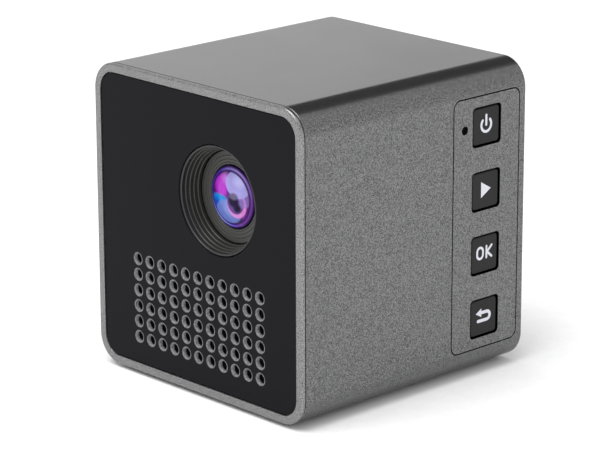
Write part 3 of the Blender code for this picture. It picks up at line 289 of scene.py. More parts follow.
def middle_across(node: str, axis: Axis) -> Point:
    """The middle of a solid's box, seen along an axis.

    Args:
        node: the solid's name.
        axis: the axis to look along.

    Returns:
        The two coordinates across the axis.
    """
    low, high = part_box(node)
    first, second = (index for index in range(3) if index != axis.value)
    return ((low[first] + high[first]) / 2, (low[second] + high[second]) / 2)


def to_object(name: str, bm: BMesh) -> bpy.types.Object:
    """Puts a mesh in the scene as an object at the origin.

    Args:
        name: the object's name.
        bm: the mesh, which is freed.

    Returns:
        The new object.
    """
    mesh = bpy.data.meshes.new(name)
    bm.to_mesh(mesh)
    bm.free()
    obj = bpy.data.objects.new(name, mesh)
    bpy.context.scene.collection.objects.link(obj)
    return obj


def settle(obj: bpy.types.Object) -> None:
    """Turns an object's modifiers into plain mesh.

    Args:
        obj: the object.
    """
    bpy.context.view_layer.update()
    graph = bpy.context.evaluated_depsgraph_get()
    mesh = bpy.data.meshes.new_from_object(obj.evaluated_get(graph))
    obj.modifiers.clear()
    obj.data = mesh


def carve(obj: bpy.types.Object, tools: Sequence[BMesh], operation: str = "DIFFERENCE") -> None:
    """Cuts tool shapes out of a piece, keeps only what lies inside them, or joins them to it.

    Args:
        obj: the piece.
        tools: the shapes, which are freed.
        operation: the Boolean's name.
    """
    helpers = []
    for tool in tools:
        bmesh.ops.recalc_face_normals(tool, faces=tool.faces)
        helper = to_object("tool_shape", tool)
        modifier = obj.modifiers.new("carve", "BOOLEAN")
        modifier.operation = operation
        modifier.solver = "EXACT"
        modifier.object = helper
        helpers.append(helper)
    settle(obj)
    for helper in helpers:
        bpy.data.objects.remove(helper)


def soften(obj: bpy.types.Object, width: float, segments: int = 2, angle: float = 40.0) -> None:
    """Rounds a piece's sharp edges.

    Args:
        obj: the piece.
        width: width of the rounding.
        segments: stretches across it.
        angle: least angle between two faces, in degrees, that is rounded.
    """
    modifier = obj.modifiers.new("soften", "BEVEL")
    modifier.width = width
    modifier.segments = segments
    modifier.limit_method = "ANGLE"
    modifier.angle_limit = math.radians(angle)
    modifier.harden_normals = False
    settle(obj)


def present(
    obj: bpy.types.Object, finish: "Finish", body: str = HOUSING, stands_for: Sequence[str] = (),
    crease: float = 30.0,
) -> bpy.types.Object:
    """Gives a piece its finish, body and slot, and hides the solids that it stands for.

    Args:
        obj: the piece.
        finish: its finish.
        body: the body that it moves with.
        stands_for: names of the solids that it replaces.
        crease: angle in degrees past which an edge stays sharp.

    Returns:
        The piece.
    """
    obj.data.materials.clear()
    obj.data.materials.append(finish.material())
    obj.data.shade_smooth()
    obj.data.set_sharp_from_angle(angle=math.radians(crease))
    weighted = obj.modifiers.new("flat_faces", "WEIGHTED_NORMAL")
    weighted.keep_sharp = True
    settle(obj)
    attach(obj, body)
    if stands_for:
        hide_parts(*stands_for)
    LOG.info("%s: %d faces on %s", obj.name, len(obj.data.polygons), body)
    return obj


# ---------------------------------------------------------------- Materials


class Sheet:
    """A node tree that is being drawn."""

    def __init__(self, tree: bpy.types.NodeTree) -> None:
        """Starts drawing.

        Args:
            tree: the tree to draw in.
        """
        self.tree = tree

    def add(self, kind: str, values: dict[str, object] | None = None, **settings: object) -> bpy.types.Node:
        """Adds a node.

        Args:
            kind: the node's type, without the ShaderNode prefix.
            values: input names and their values, or sockets to link from.
            **settings: the node's own properties.

        Returns:
            The new node.
        """
        node = self.tree.nodes.new(f"ShaderNode{kind}")
        for name, value in settings.items():
            setattr(node, name, value)
        for name, value in (values or {}).items():
            self.put(node.inputs[name], value)
        return node

    def put(self, target: bpy.types.NodeSocket, value: object) -> None:
        """Sets an input, or links it if the value is a socket.

        Args:
            target: the input.
            value: a number, a colour or another node's output.
        """
        if isinstance(value, bpy.types.NodeSocket):
            self.tree.links.new(value, target)
        else:
            target.default_value = value

    def math(self, operation: str, first: object, second: object = 0.0) -> bpy.types.NodeSocket:
        """Adds a Math node.

        Args:
            operation: its operation.
            first: first value or socket.
            second: second value or socket.

        Returns:
            Its result.
        """
        node = self.add("Math", operation=operation)
        self.put(node.inputs[0], first)
        self.put(node.inputs[1], second)
        return node.outputs[0]

    def length(self, across: bpy.types.NodeSocket, up: bpy.types.NodeSocket) -> bpy.types.NodeSocket:
        """The length of a flat vector.

        Args:
            across: its first part.
            up: its second part.

        Returns:
            The length.
        """
        squares = [self.math("POWER", part, 2.0) for part in (across, up)]
        return self.math("SQRT", self.math("ADD", *squares))

    def ramp(
        self, factor: bpy.types.NodeSocket, stops: Sequence[tuple[float, Sequence[float]]]
    ) -> bpy.types.NodeSocket:
        """Adds a Color Ramp.

        Args:
            factor: what it reads.
            stops: places and colours in order.

        Returns:
            Its colour.
        """
        node = self.add("ValToRGB", {"Fac": factor})
        elements = node.color_ramp.elements
        elements[0].position, elements[1].position = stops[0][0], stops[-1][0]
        elements[0].color, elements[1].color = (*stops[0][1], 1.0), (*stops[-1][1], 1.0)
        for place, colour in stops[1:-1]:
            elements.new(place).color = (*colour, 1.0)
        return node.outputs["Color"]

    def mix(self, factor: object, first: object, second: object, blend: str = "MIX") -> bpy.types.NodeSocket:
        """Mixes two colours.

        Args:
            factor: share of the second.
            first: first colour or socket.
            second: second colour or socket.
            blend: the blend's name.

        Returns:
            The mixed colour.
        """
        node = self.add("Mix", data_type="RGBA", blend_type=blend)
        self.put(node.inputs[0], factor)
        self.put(node.inputs[6], first)
        self.put(node.inputs[7], second)
        return node.outputs[2]

    def object_point(self) -> bpy.types.NodeSocket:
        """The surface point in the row frame."""
        return self.add("TexCoord").outputs["Object"]


def rgba(colour: Sequence[float]) -> tuple[float, float, float, float]:
    """A colour with full alpha."""
    return (colour[0], colour[1], colour[2], 1.0)


def node_group(
    name: str,
    inputs: dict[str, float],
    outputs: dict[str, str],
    draw: Callable[[Sheet, object, object], None],
) -> bpy.types.NodeTree:
    """Makes a shader node group once.

    Args:
        name: the group's name.
        inputs: names and default values of its number inputs.
        outputs: names and socket types of its outputs.
        draw: draws the group between its input and output nodes.

    Returns:
        The group.
    """
    if name in bpy.data.node_groups:
        return bpy.data.node_groups[name]
    tree = bpy.data.node_groups.new(name, "ShaderNodeTree")
    for label, value in inputs.items():
        tree.interface.new_socket(label, in_out="INPUT", socket_type="NodeSocketFloat").default_value = value
    for label, kind in outputs.items():
        tree.interface.new_socket(label, in_out="OUTPUT", socket_type=kind)
    draw(Sheet(tree), tree.nodes.new("NodeGroupInput"), tree.nodes.new("NodeGroupOutput"))
    return tree


def fleck_group() -> bpy.types.NodeTree:
    """Fine grain of a textured paint or a moulded surface: a height and a light-dark fleck."""

    def draw(sheet: Sheet, given: object, result: object) -> None:
        """Draws the group.

        Args:
            sheet: the group's tree.
            given: its input node.
            result: its output node.
        """
        point = sheet.object_point()
        coarse = sheet.add(
            "TexNoise", {"Vector": point, "Scale": given.outputs["Scale"], "Detail": 3.0, "Roughness": 0.6}
        )
        doubled = sheet.math("MULTIPLY", given.outputs["Scale"], 2.3)
        cells = sheet.add("TexVoronoi", {"Vector": point, "Scale": doubled})
        fine = sheet.math("MULTIPLY", cells.outputs["Distance"], 0.4)
        height = sheet.math("ADD", coarse.outputs["Fac"], fine)
        spread = sheet.math("SUBTRACT", height, MEAN_GRAIN_HEIGHT)
        fleck = sheet.math("MULTIPLY_ADD", spread, given.outputs["Contrast"])
        fleck.node.inputs[2].default_value = 0.5
        sheet.put(result.inputs["Height"], height)
        sheet.put(result.inputs["Fleck"], fleck)

    inputs = {"Scale": 4000.0, "Contrast": 1.0}
    return node_group("fleck", inputs, {"Height": "NodeSocketFloat", "Fleck": "NodeSocketFloat"}, draw)


def handling_group() -> bpy.types.NodeTree:
    """Slow unevenness of a handled surface, from 0 to 1."""

    def draw(sheet: Sheet, given: object, result: object) -> None:
        """Draws the group.

        Args:
            sheet: the group's tree.
            given: its input node.
            result: its output node.
        """
        point = sheet.object_point()
        cloud = sheet.add(
            "TexNoise", {"Vector": point, "Scale": given.outputs["Scale"], "Detail": 4.0, "Distortion": 0.6}
        )
        spread = sheet.math("SUBTRACT", cloud.outputs["Fac"], 0.5)
        value = sheet.math("MULTIPLY_ADD", spread, given.outputs["Amount"])
        value.node.inputs[2].default_value = 0.5
        sheet.put(result.inputs["Value"], value)

    return node_group("handling", {"Scale": 90.0, "Amount": 1.0}, {"Value": "NodeSocketFloat"}, draw)


@dataclass(frozen=True)
class Finish:
    """A surface finish, made once as a material and shared by every piece that has it."""

    name: str
    colour: tuple[float, float, float]
    roughness: float = 0.5
    metallic: float = 0.0
    grain: float = 4000.0
    fleck: float = 0.3
    relief: float = 0.01
    unevenness: float = 0.1
    coat: float = 0.0
    ior: float = 1.5

    def material(self) -> bpy.types.Material:
        """The finish's material, made on first use."""
        label = f"finish_{self.name}"
        if label in bpy.data.materials:
            return bpy.data.materials[label]
        material = bpy.data.materials.new(label)
        material.use_nodes = True
        sheet = Sheet(material.node_tree)
        shader = material.node_tree.nodes["Principled BSDF"]
        shader.inputs["Metallic"].default_value = self.metallic
        shader.inputs["Coat Weight"].default_value = self.coat
        shader.inputs["Coat Roughness"].default_value = 0.08
        shader.inputs["IOR"].default_value = self.ior
        self.draw(sheet, shader)
        return material

    def draw(self, sheet: Sheet, shader: bpy.types.Node) -> None:
        """Draws colour, roughness and bump.

        Args:
            sheet: the material's tree.
            shader: its Principled node.
        """
        self.lay(sheet, shader, self.colour)

    def lay(self, sheet: Sheet, shader: bpy.types.Node, colour: object) -> None:
        """Lays a colour with this finish's grain, bump and roughness.

        Args:
            sheet: the material's tree.
            shader: its Principled node.
            colour: a colour, or a socket that gives one.
        """
        grain = self.grain_node(sheet)
        sheet.put(shader.inputs["Base Color"], self.flecked(sheet, grain, colour))
        self.relief_and_roughness(sheet, shader, grain)

    def grain_node(self, sheet: Sheet) -> bpy.types.Node:
        """The shared grain, at this finish's scale."""
        node = sheet.add("Group", node_tree=fleck_group())
        node.inputs["Scale"].default_value = self.grain
        node.inputs["Contrast"].default_value = GRAIN_CONTRAST
        return node

    def flecked(self, sheet: Sheet, grain: bpy.types.Node, colour: object) -> bpy.types.NodeSocket:
        """A colour varied by the grain.

        Args:
            sheet: the material's tree.
            grain: the grain's node.
            colour: a colour, or a socket that gives one.

        Returns:
            The varied colour.
        """
        source = colour if isinstance(colour, bpy.types.NodeSocket) else rgba(colour)
        shade = sheet.ramp(
            grain.outputs["Fleck"],
            [(0.0, [1 - self.fleck] * 3), (0.5, [1.0] * 3), (1.0, [1 + self.fleck * 1.4] * 3)],
        )
        return sheet.mix(1.0, source, shade, "MULTIPLY")

    def relief_and_roughness(self, sheet: Sheet, shader: bpy.types.Node, grain: bpy.types.Node) -> None:
        """Bump from the grain, and roughness that drifts a little.

        Args:
            sheet: the material's tree.
            shader: its Principled node.
            grain: the grain's node.
        """
        height = grain.outputs["Height"]
        bump = sheet.add("Bump", {"Height": height, "Strength": 0.6, "Distance": self.relief * MM})
        sheet.put(shader.inputs["Normal"], bump.outputs["Normal"])
        drift = sheet.add("Group", node_tree=handling_group())
        spread = sheet.math("MULTIPLY_ADD", drift.outputs["Value"], self.unevenness)
        spread.node.inputs[2].default_value = self.roughness - self.unevenness / 2
        sheet.put(shader.inputs["Roughness"], spread)


def glint_group() -> bpy.types.NodeTree:
    """A soft-edged ellipse on a surface, from 0 outside it to 1 inside."""

    def draw(sheet: Sheet, given: object, result: object) -> None:
        """Draws the group.

        Args:
            sheet: the group's tree.
            given: its input node.
            result: its output node.
        """
        terms = []
        sides = (("Across", "Centre Across", "Reach Across"), ("Up", "Centre Up", "Reach Up"))
        for along, middle, reach in sides:
            offset = sheet.math("SUBTRACT", given.outputs[along], given.outputs[middle])
            terms.append(sheet.math("POWER", sheet.math("DIVIDE", offset, given.outputs[reach]), 2.0))
        distance = sheet.math("SQRT", sheet.math("ADD", *terms))
        inside = sheet.math("DIVIDE", sheet.math("SUBTRACT", 1.0, distance), given.outputs["Softness"])
        inside.node.use_clamp = True
        sheet.put(result.inputs["Mask"], inside)

    inputs = {
        "Across": 0.0, "Up": 0.0, "Centre Across": 0.0, "Centre Up": 0.0,
        "Reach Across": 0.5, "Reach Up": 0.5,
        "Softness": 0.3,
    }
    return node_group("glint", inputs, {"Mask": "NodeSocketFloat"}, draw)


@dataclass(frozen=True)
class Glint:
    """One painted mark in the lens, placed and sized in shares of the glass radius: light ones are painted
    reflections, near-black ones painted shade.
    """

    centre: Point
    reach: Point
    softness: float
    colour: tuple[float, float, float]
    strength: float = 1.0


# Painted reflections in the glass, and, where the colour is near black, painted shade of the dark inside; each
# entry is laid over the ones before it.
LENS_GLINTS = (
    Glint((0.78, -0.15), (0.26, 0.55), 0.7, (0.12, 0.012, 0.22)),
    Glint((0.62, -0.56), (0.26, 0.24), 0.8, (0.22, 0.02, 0.34)),
    Glint((-0.50, 0.34), (0.38, 0.50), 0.5, (0.40, 0.03, 0.50)),
    Glint((-0.30, 0.60), (0.26, 0.24), 0.9, (0.46, 0.16, 0.60)),
    Glint((-0.56, -0.10), (0.44, 0.20), 0.5, (0.007, 0.22, 0.60)),
    Glint((-0.74, -0.32), (0.22, 0.34), 0.7, (0.010, 0.06, 0.42)),
    Glint((-0.16, -0.44), (0.60, 0.42), 0.10, (0.13, 0.19, 0.52), 0.9),
    Glint((-0.06, -0.30), (0.40, 0.34), 0.3, (0.20, 0.28, 0.62), 0.5),
    Glint((0.20, -0.16), (0.46, 0.46), 0.08, (0.72, 0.24, 0.62), 0.8),
    Glint((0.14, -0.10), (0.40, 0.40), 0.12, (0.06, 0.03, 0.20), 0.9),
    Glint((0.48, 0.12), (0.38, 0.38), 0.10, (0.24, 0.18, 0.50), 0.6),
    Glint((0.26, 0.48), (0.58, 0.44), 0.08, (0.34, 0.32, 0.68), 0.85),
    Glint((0.34, 0.60), (0.40, 0.26), 0.7, (0.52, 0.52, 0.86), 0.6),
    Glint((0.06, -0.06), (0.30, 0.24), 0.4, (0.008, 0.002, 0.03)),
    Glint((0.22, -0.26), (0.22, 0.20), 0.5, (0.008, 0.002, 0.03)),
    Glint((0.06, 0.10), (0.24, 0.14), 0.5, (0.12, 0.10, 0.19)),
)


@dataclass(frozen=True)
class LensCoating(Finish):
    """Purple coating, with painted reflections and painted shade drawn in it that stay fixed to the glass."""

    centre: tuple[float, float, float] = (0.0, 0.0, 0.0)
    radius: float = 4.8 * MM
    sideways_shift: float = 0.2

    def draw(self, sheet: Sheet, shader: bpy.types.Node) -> None:
        """Draws the painted reflections and painted shade over deep violet, with a dark band and a thin bright
        line at the rim that are a painted reflection of the retaining ring.

        Args:
            sheet: the material's tree.
            shader: its Principled node.
        """
        offset = sheet.add("VectorMath", operation="SUBTRACT")
        sheet.put(offset.inputs[0], sheet.object_point())
        sheet.put(offset.inputs[1], self.centre)
        parts = sheet.add("SeparateXYZ", {"Vector": offset.outputs[0]})
        across = sheet.math("DIVIDE", parts.outputs["X"], self.radius)
        up = sheet.math("DIVIDE", parts.outputs["Z"], self.radius)
        distance = sheet.length(across, up)
        middle_share = sheet.math("SUBTRACT", 1.0, sheet.math("POWER", distance, 2.0))
        # A fixed sideways shift of the painted reflections, largest at the middle of the glass.
        shift = sheet.math("MULTIPLY", middle_share, self.sideways_shift)
        shifted = sheet.math("SUBTRACT", across, shift)
        colour = rgba(self.colour)
        for glint in LENS_GLINTS:
            mask = sheet.add("Group", node_tree=glint_group())
            sheet.put(mask.inputs["Across"], shifted)
            sheet.put(mask.inputs["Up"], up)
            mask.inputs["Centre Across"].default_value, mask.inputs["Centre Up"].default_value = glint.centre
            mask.inputs["Reach Across"].default_value, mask.inputs["Reach Up"].default_value = glint.reach
            mask.inputs["Softness"].default_value = glint.softness
            share = sheet.math("MULTIPLY", mask.outputs["Mask"], glint.strength)
            colour = sheet.mix(share, colour, rgba(glint.colour))
        angle = sheet.math("DIVIDE", sheet.math("ARCTAN2", up, across), FULL_TURN)
        turn = sheet.math("FRACT", sheet.math("ADD", angle, 1.0))
        violet, lilac, indigo = (0.16, 0.03, 0.30), (0.30, 0.22, 0.60), (0.05, 0.03, 0.30)
        # Painted reflection of the retaining ring: a dark band at the rim with a thin coloured bright line in
        # it.
        line = sheet.ramp(
            turn, [(0.0, violet), (0.2, lilac), (0.35, indigo), (0.5, indigo), (0.66, (0.30, 0.36, 0.95)),
                   (0.75, (0.14, 0.10, 0.60)), (0.85, violet), (1.0, violet)],
        )
        white, black = (1.0, 1.0, 1.0), (0.0, 0.0, 0.0)
        in_band = sheet.ramp(distance, [(0.80, black), (0.84, white), (0.99, white), (1.0, white)])
        in_line = sheet.ramp(distance, [(0.86, black), (0.90, white), (0.925, white), (0.96, black)])
        colour = sheet.mix(in_band, colour, rgba((0.03, 0.008, 0.085)))
        colour = sheet.mix(in_line, colour, line)
        self.lay(sheet, shader, colour)


@dataclass(frozen=True)
class MetallicPaint(Finish):
    """Textured metallic paint, smoother on the top, with painted shade, near black, on the walls of openings
    past a depth below the outer face, if that depth is set.
    """

    top_share: float = 0.2
    shade_depth: float = 0.0
    edge_tint: tuple[float, float, float] = (0.80, 0.80, 0.80)

    def draw(self, sheet: Sheet, shader: bpy.types.Node) -> None:
        """Draws the grain, faded over the upper rounding, and the painted shade, near black, on the walls of
        openings.

        Args:
            sheet: the material's tree.
            shader: its Principled node.
        """
        grain = self.grain_node(sheet)
        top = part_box("sleeve")[1].z
        parts = sheet.add("SeparateXYZ", {"Vector": sheet.object_point()})
        depth = sheet.math("DIVIDE", sheet.math("SUBTRACT", top, parts.outputs["Z"]), 4.6 * MM)
        share = sheet.ramp(depth, [(0.02, [self.top_share] * 3), (0.7, [1.0] * 3)])
        colour = sheet.mix(share, rgba(self.colour), self.flecked(sheet, grain, self.colour))
        # Painted shade: past the set depth below the key side's outer face, the walls of openings turn near
        # black.
        if self.shade_depth:
            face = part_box("sleeve")[1].x - self.shade_depth
            painted = sheet.math("GREATER_THAN", parts.outputs["X"], face)
            colour = sheet.mix(painted, rgba((0.002, 0.002, 0.002)), colour)
        sheet.put(shader.inputs["Base Color"], colour)
        self.relief_and_roughness(sheet, shader, grain)
        shader.inputs["Specular Tint"].default_value = rgba(self.edge_tint)
        bump = shader.inputs["Normal"].links[0].from_node
        sheet.put(bump.inputs["Strength"], sheet.math("MULTIPLY", share, 0.6))


@dataclass(frozen=True)
class PanelGloss(Finish):
    """Gloss black face over a lighter core that shows inside its holes."""

    core: tuple[float, float, float] = (0.035, 0.035, 0.035)
    skin: float = 0.3 * MM

    def draw(self, sheet: Sheet, shader: bpy.types.Node) -> None:
        """Draws the face and, past the skin's depth, the core.

        Args:
            sheet: the material's tree.
            shader: its Principled node.
        """
        parts = sheet.add("SeparateXYZ", {"Vector": sheet.object_point()})
        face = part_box("front_panel")[0].y
        depth = sheet.math("DIVIDE", sheet.math("SUBTRACT", parts.outputs["Y"], face), self.skin)
        inside = sheet.ramp(depth, [(0.3, (0.0, 0.0, 0.0)), (1.0, (1.0, 1.0, 1.0))])
        colour = sheet.mix(inside, rgba(self.colour), rgba(self.core))
        self.lay(sheet, shader, colour)


@dataclass(frozen=True)
class TrimPlastic(Finish):
    """Baffle plastic that is as black as the panel at its outer lip."""

    def draw(self, sheet: Sheet, shader: bpy.types.Node) -> None:
        """Draws the colour by distance from the lens axis.

        Args:
            sheet: the material's tree.
            shader: its Principled node.
        """
        axis_x, axis_z = middle_across("lens_cell", Axis.Y)
        parts = sheet.add("SeparateXYZ", {"Vector": sheet.object_point()})
        across = sheet.math("SUBTRACT", parts.outputs["X"], axis_x)
        up = sheet.math("SUBTRACT", parts.outputs["Z"], axis_z)
        distance = sheet.length(across, up)
        share = sheet.math("DIVIDE", distance, 10.0 * MM)
        colour = sheet.ramp(share, [(0.83, self.colour), (0.865, (0.004, 0.004, 0.005))])
        self.lay(sheet, shader, colour)


@dataclass(frozen=True)
class LinerPlastic(Finish):
    """Grille liner with painted light near its mouth and painted shade, near black, down its throat."""

    def draw(self, sheet: Sheet, shader: bpy.types.Node) -> None:
        """Draws the painted light and painted shade by depth behind the panel's face.

        Args:
            sheet: the material's tree.
            shader: its Principled node.
        """
        parts = sheet.add("SeparateXYZ", {"Vector": sheet.object_point()})
        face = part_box("front_panel")[0].y
        depth = sheet.math("DIVIDE", sheet.math("SUBTRACT", parts.outputs["Y"], face), MM)
        # Painted light: a grey lip and a lighter wall near the mouth; painted shade: near black deeper in.
        lip = [value * 1.6 for value in self.colour]
        wall = [value * 3.2 for value in self.colour]
        colour = sheet.ramp(depth, [(0.08, lip), (0.16, wall), (0.62, wall), (0.72, [0.004] * 3)])
        self.lay(sheet, shader, colour)


@dataclass(frozen=True)
class KeyPlastic(Finish):
    """Key plastic with painted shade on its sides, darker away from the face."""

    def draw(self, sheet: Sheet, shader: bpy.types.Node) -> None:
        """Draws the face colour and the painted shade on the sides.

        Args:
            sheet: the material's tree.
            shader: its Principled node.
        """
        parts = sheet.add("SeparateXYZ", {"Vector": sheet.object_point()})
        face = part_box("power_key")[1].x
        depth = sheet.math("DIVIDE", sheet.math("SUBTRACT", face, parts.outputs["X"]), 0.3 * MM)
        # Painted shade: the sides turn near black a fraction of a millimetre behind the face.
        side = sheet.ramp(depth, [(0.2, (0.0, 0.0, 0.0)), (0.9, (1.0, 1.0, 1.0))])
        colour = sheet.mix(side, rgba(self.colour), rgba((0.001, 0.001, 0.001)))
        self.lay(sheet, shader, colour)


@dataclass(frozen=True)
class Woven(Finish):
    """Fine acoustic cloth: threads crossing at right angles."""

    pitch: float = 0.25 * MM

    def draw(self, sheet: Sheet, shader: bpy.types.Node) -> None:
        """Draws the weave.

        Args:
            sheet: the material's tree.
            shader: its Principled node.
        """
        point = sheet.object_point()
        threads = []
        for direction in ("X", "Z"):
            wave = sheet.add(
                "TexWave", {"Vector": point, "Scale": 0.05 / self.pitch}, bands_direction=direction
            )
            threads.append(wave.outputs["Fac"])
        weave = sheet.math("MULTIPLY", threads[0], threads[1])
        colour = sheet.ramp(weave, [(0.0, (0.0, 0.0, 0.0)), (1.0, self.colour)])
        sheet.put(shader.inputs["Base Color"], colour)
        bump = sheet.add("Bump", {"Height": weave, "Strength": 0.8, "Distance": self.relief * MM})
        sheet.put(shader.inputs["Normal"], bump.outputs["Normal"])
        smoother = sheet.math("MULTIPLY", weave, 0.1)
        sheet.put(shader.inputs["Roughness"], sheet.math("SUBTRACT", self.roughness, smoother))


@dataclass(frozen=True)
class Circuit(Finish):
    """A printed board: tracks and pads under solder mask."""

    def draw(self, sheet: Sheet, shader: bpy.types.Node) -> None:
        """Draws the tracks.

        Args:
            sheet: the material's tree.
            shader: its Principled node.
        """
        tracks = sheet.add("TexBrick", {"Vector": sheet.object_point(), "Scale": 600.0, "Mortar Size": 0.03})
        light = [min(1.0, value * 1.8 + 0.01) for value in self.colour]
        colour = sheet.mix(tracks.outputs["Fac"], rgba(self.colour), rgba(light))
        self.lay(sheet, shader, colour)


@dataclass(frozen=True)
class ClearGlass(Finish):
    """Glass or clear plastic with faint unevenness."""

    def draw(self, sheet: Sheet, shader: bpy.types.Node) -> None:
        """Adds transmission to the plain finish.

        Args:
            sheet: the material's tree.
            shader: its Principled node.
        """
        shader.inputs["Transmission Weight"].default_value = 0.9
        super().draw(sheet, shader)


GREY_PAINT = MetallicPaint("grey_paint", (0.122, 0.122, 0.123), 0.24, 0.85, 5350.0, 0.60, 0.012, 0.04)
# The sleeve's paint with painted shade, near black, on the walls of the key openings and the light's hole.
KEY_PLATE_PAINT = replace(GREY_PAINT, name="key_plate_paint_opening_shade", shade_depth=0.14 * MM)
# The sleeve's paint made lighter for the bezel: painted light, standing in for the light that falls on the
# front face.
BEZEL_LIT_PAINT = MetallicPaint(
    "bezel_paint_painted_light", (0.185, 0.185, 0.186), 0.28, 0.85, 5350.0, 0.56, 0.012, 0.04, top_share=1.0
)
PANEL_GLOSS = PanelGloss(
    "panel_gloss", (0.0045, 0.0040, 0.0062), 0.18, 0.0, 9000.0, 0.1, 0.001, 0.05, 0.0, 1.16
)
LINER_GREY = LinerPlastic("liner_painted_light_and_shade", (0.075, 0.075, 0.08), 0.35, 0.0, 5000.0, 0.6, 0.02, 0.08)
TRIM_BLACK = TrimPlastic("trim_black", (0.022, 0.022, 0.020), 0.36, 0.0, 9000.0, 0.15, 0.003, 0.06)
CELL_GREY = Finish("cell_grey", (0.035, 0.035, 0.032), 0.45, 0.0, 8000.0, 0.15, 0.003, 0.06)
KEY_GREY = KeyPlastic("key_grey", (0.018, 0.018, 0.018), 0.45, 0.0, 6000.0, 0.15, 0.003, 0.06, 0.0, 1.22)
KEY_INK = Finish("key_ink", (0.62, 0.62, 0.68), 0.6, 0.0, 9000.0, 0.06, 0.002, 0.05)
DARK_PLASTIC = Finish("dark_moulding", (0.02, 0.02, 0.022), 0.48, 0.0, 3500.0, 0.25, 0.02, 0.1)
PAD_RUBBER = Finish("pad_rubber", (0.02, 0.02, 0.02), 0.82, 0.0, 2500.0, 0.3, 0.04, 0.1)
BRASS = Finish("turned_brass", (0.72, 0.52, 0.25), 0.3, 1.0, 3000.0, 0.12, 0.004, 0.12)
STEEL = Finish("plated_steel", (0.6, 0.6, 0.62), 0.28, 1.0, 3000.0, 0.1, 0.003, 0.12)
BLACK_STEEL = Finish("black_screw", (0.05, 0.05, 0.055), 0.35, 0.8, 4000.0, 0.15, 0.004, 0.1)
ALUMINIUM = Finish("milled_aluminium", (0.72, 0.72, 0.74), 0.34, 1.0, 2500.0, 0.1, 0.004, 0.12)
CLOTH = Woven("acoustic_cloth", (0.03, 0.03, 0.032), 0.9, relief=0.03)
BOARD = Circuit("circuit_board", (0.02, 0.12, 0.05), 0.45, 0.0, 5000.0, 0.1, 0.003, 0.1)
AMBER_FILM = Finish("amber_film", (0.6, 0.28, 0.05), 0.35, 0.0, 3000.0, 0.12, 0.003, 0.1)
FOIL = Finish("pouch_foil", (0.4, 0.44, 0.52), 0.38, 0.4, 1200.0, 0.15, 0.03, 0.15)
RED_EMITTER = Finish("red_emitter", (0.7, 0.03, 0.03), 0.3, 0.0, 3000.0, 0.1, 0.003, 0.1)
GREEN_EMITTER = Finish("green_emitter", (0.04, 0.55, 0.08), 0.3, 0.0, 3000.0, 0.1, 0.003, 0.1)
BLUE_EMITTER = Finish("blue_emitter", (0.04, 0.08, 0.7), 0.3, 0.0, 3000.0, 0.1, 0.003, 0.1)
LIGHT_PIPE = Finish("light_pipe", (0.002, 0.002, 0.002), 0.6, 0.0, 5000.0, 0.1, 0.002, 0.05, 0.0, 1.05)
OPTICAL_GLASS = ClearGlass("optical_glass", (0.9, 0.92, 0.98), 0.05, 0.0, 3000.0, 0.02, 0.0005, 0.02)

SLOT_FINISHES: dict[str, Finish] = {
    "grey_paint": GREY_PAINT, "black_gloss": PANEL_GLOSS, "dark_plastic": DARK_PLASTIC,
    "key_plastic": KEY_GREY, "clear_plastic": LIGHT_PIPE, "rubber": PAD_RUBBER, "brass": BRASS,
    "steel": STEEL, "aluminium": ALUMINIUM, "coated_glass": OPTICAL_GLASS, "clear_glass": OPTICAL_GLASS,
    "circuit_board": BOARD, "amber_film": AMBER_FILM, "foil": FOIL, "red_emitter": RED_EMITTER,
    "green_emitter": GREEN_EMITTER, "blue_emitter": BLUE_EMITTER, "cloth": CLOTH,
}


# ---------------------------------------------------------------- The projector


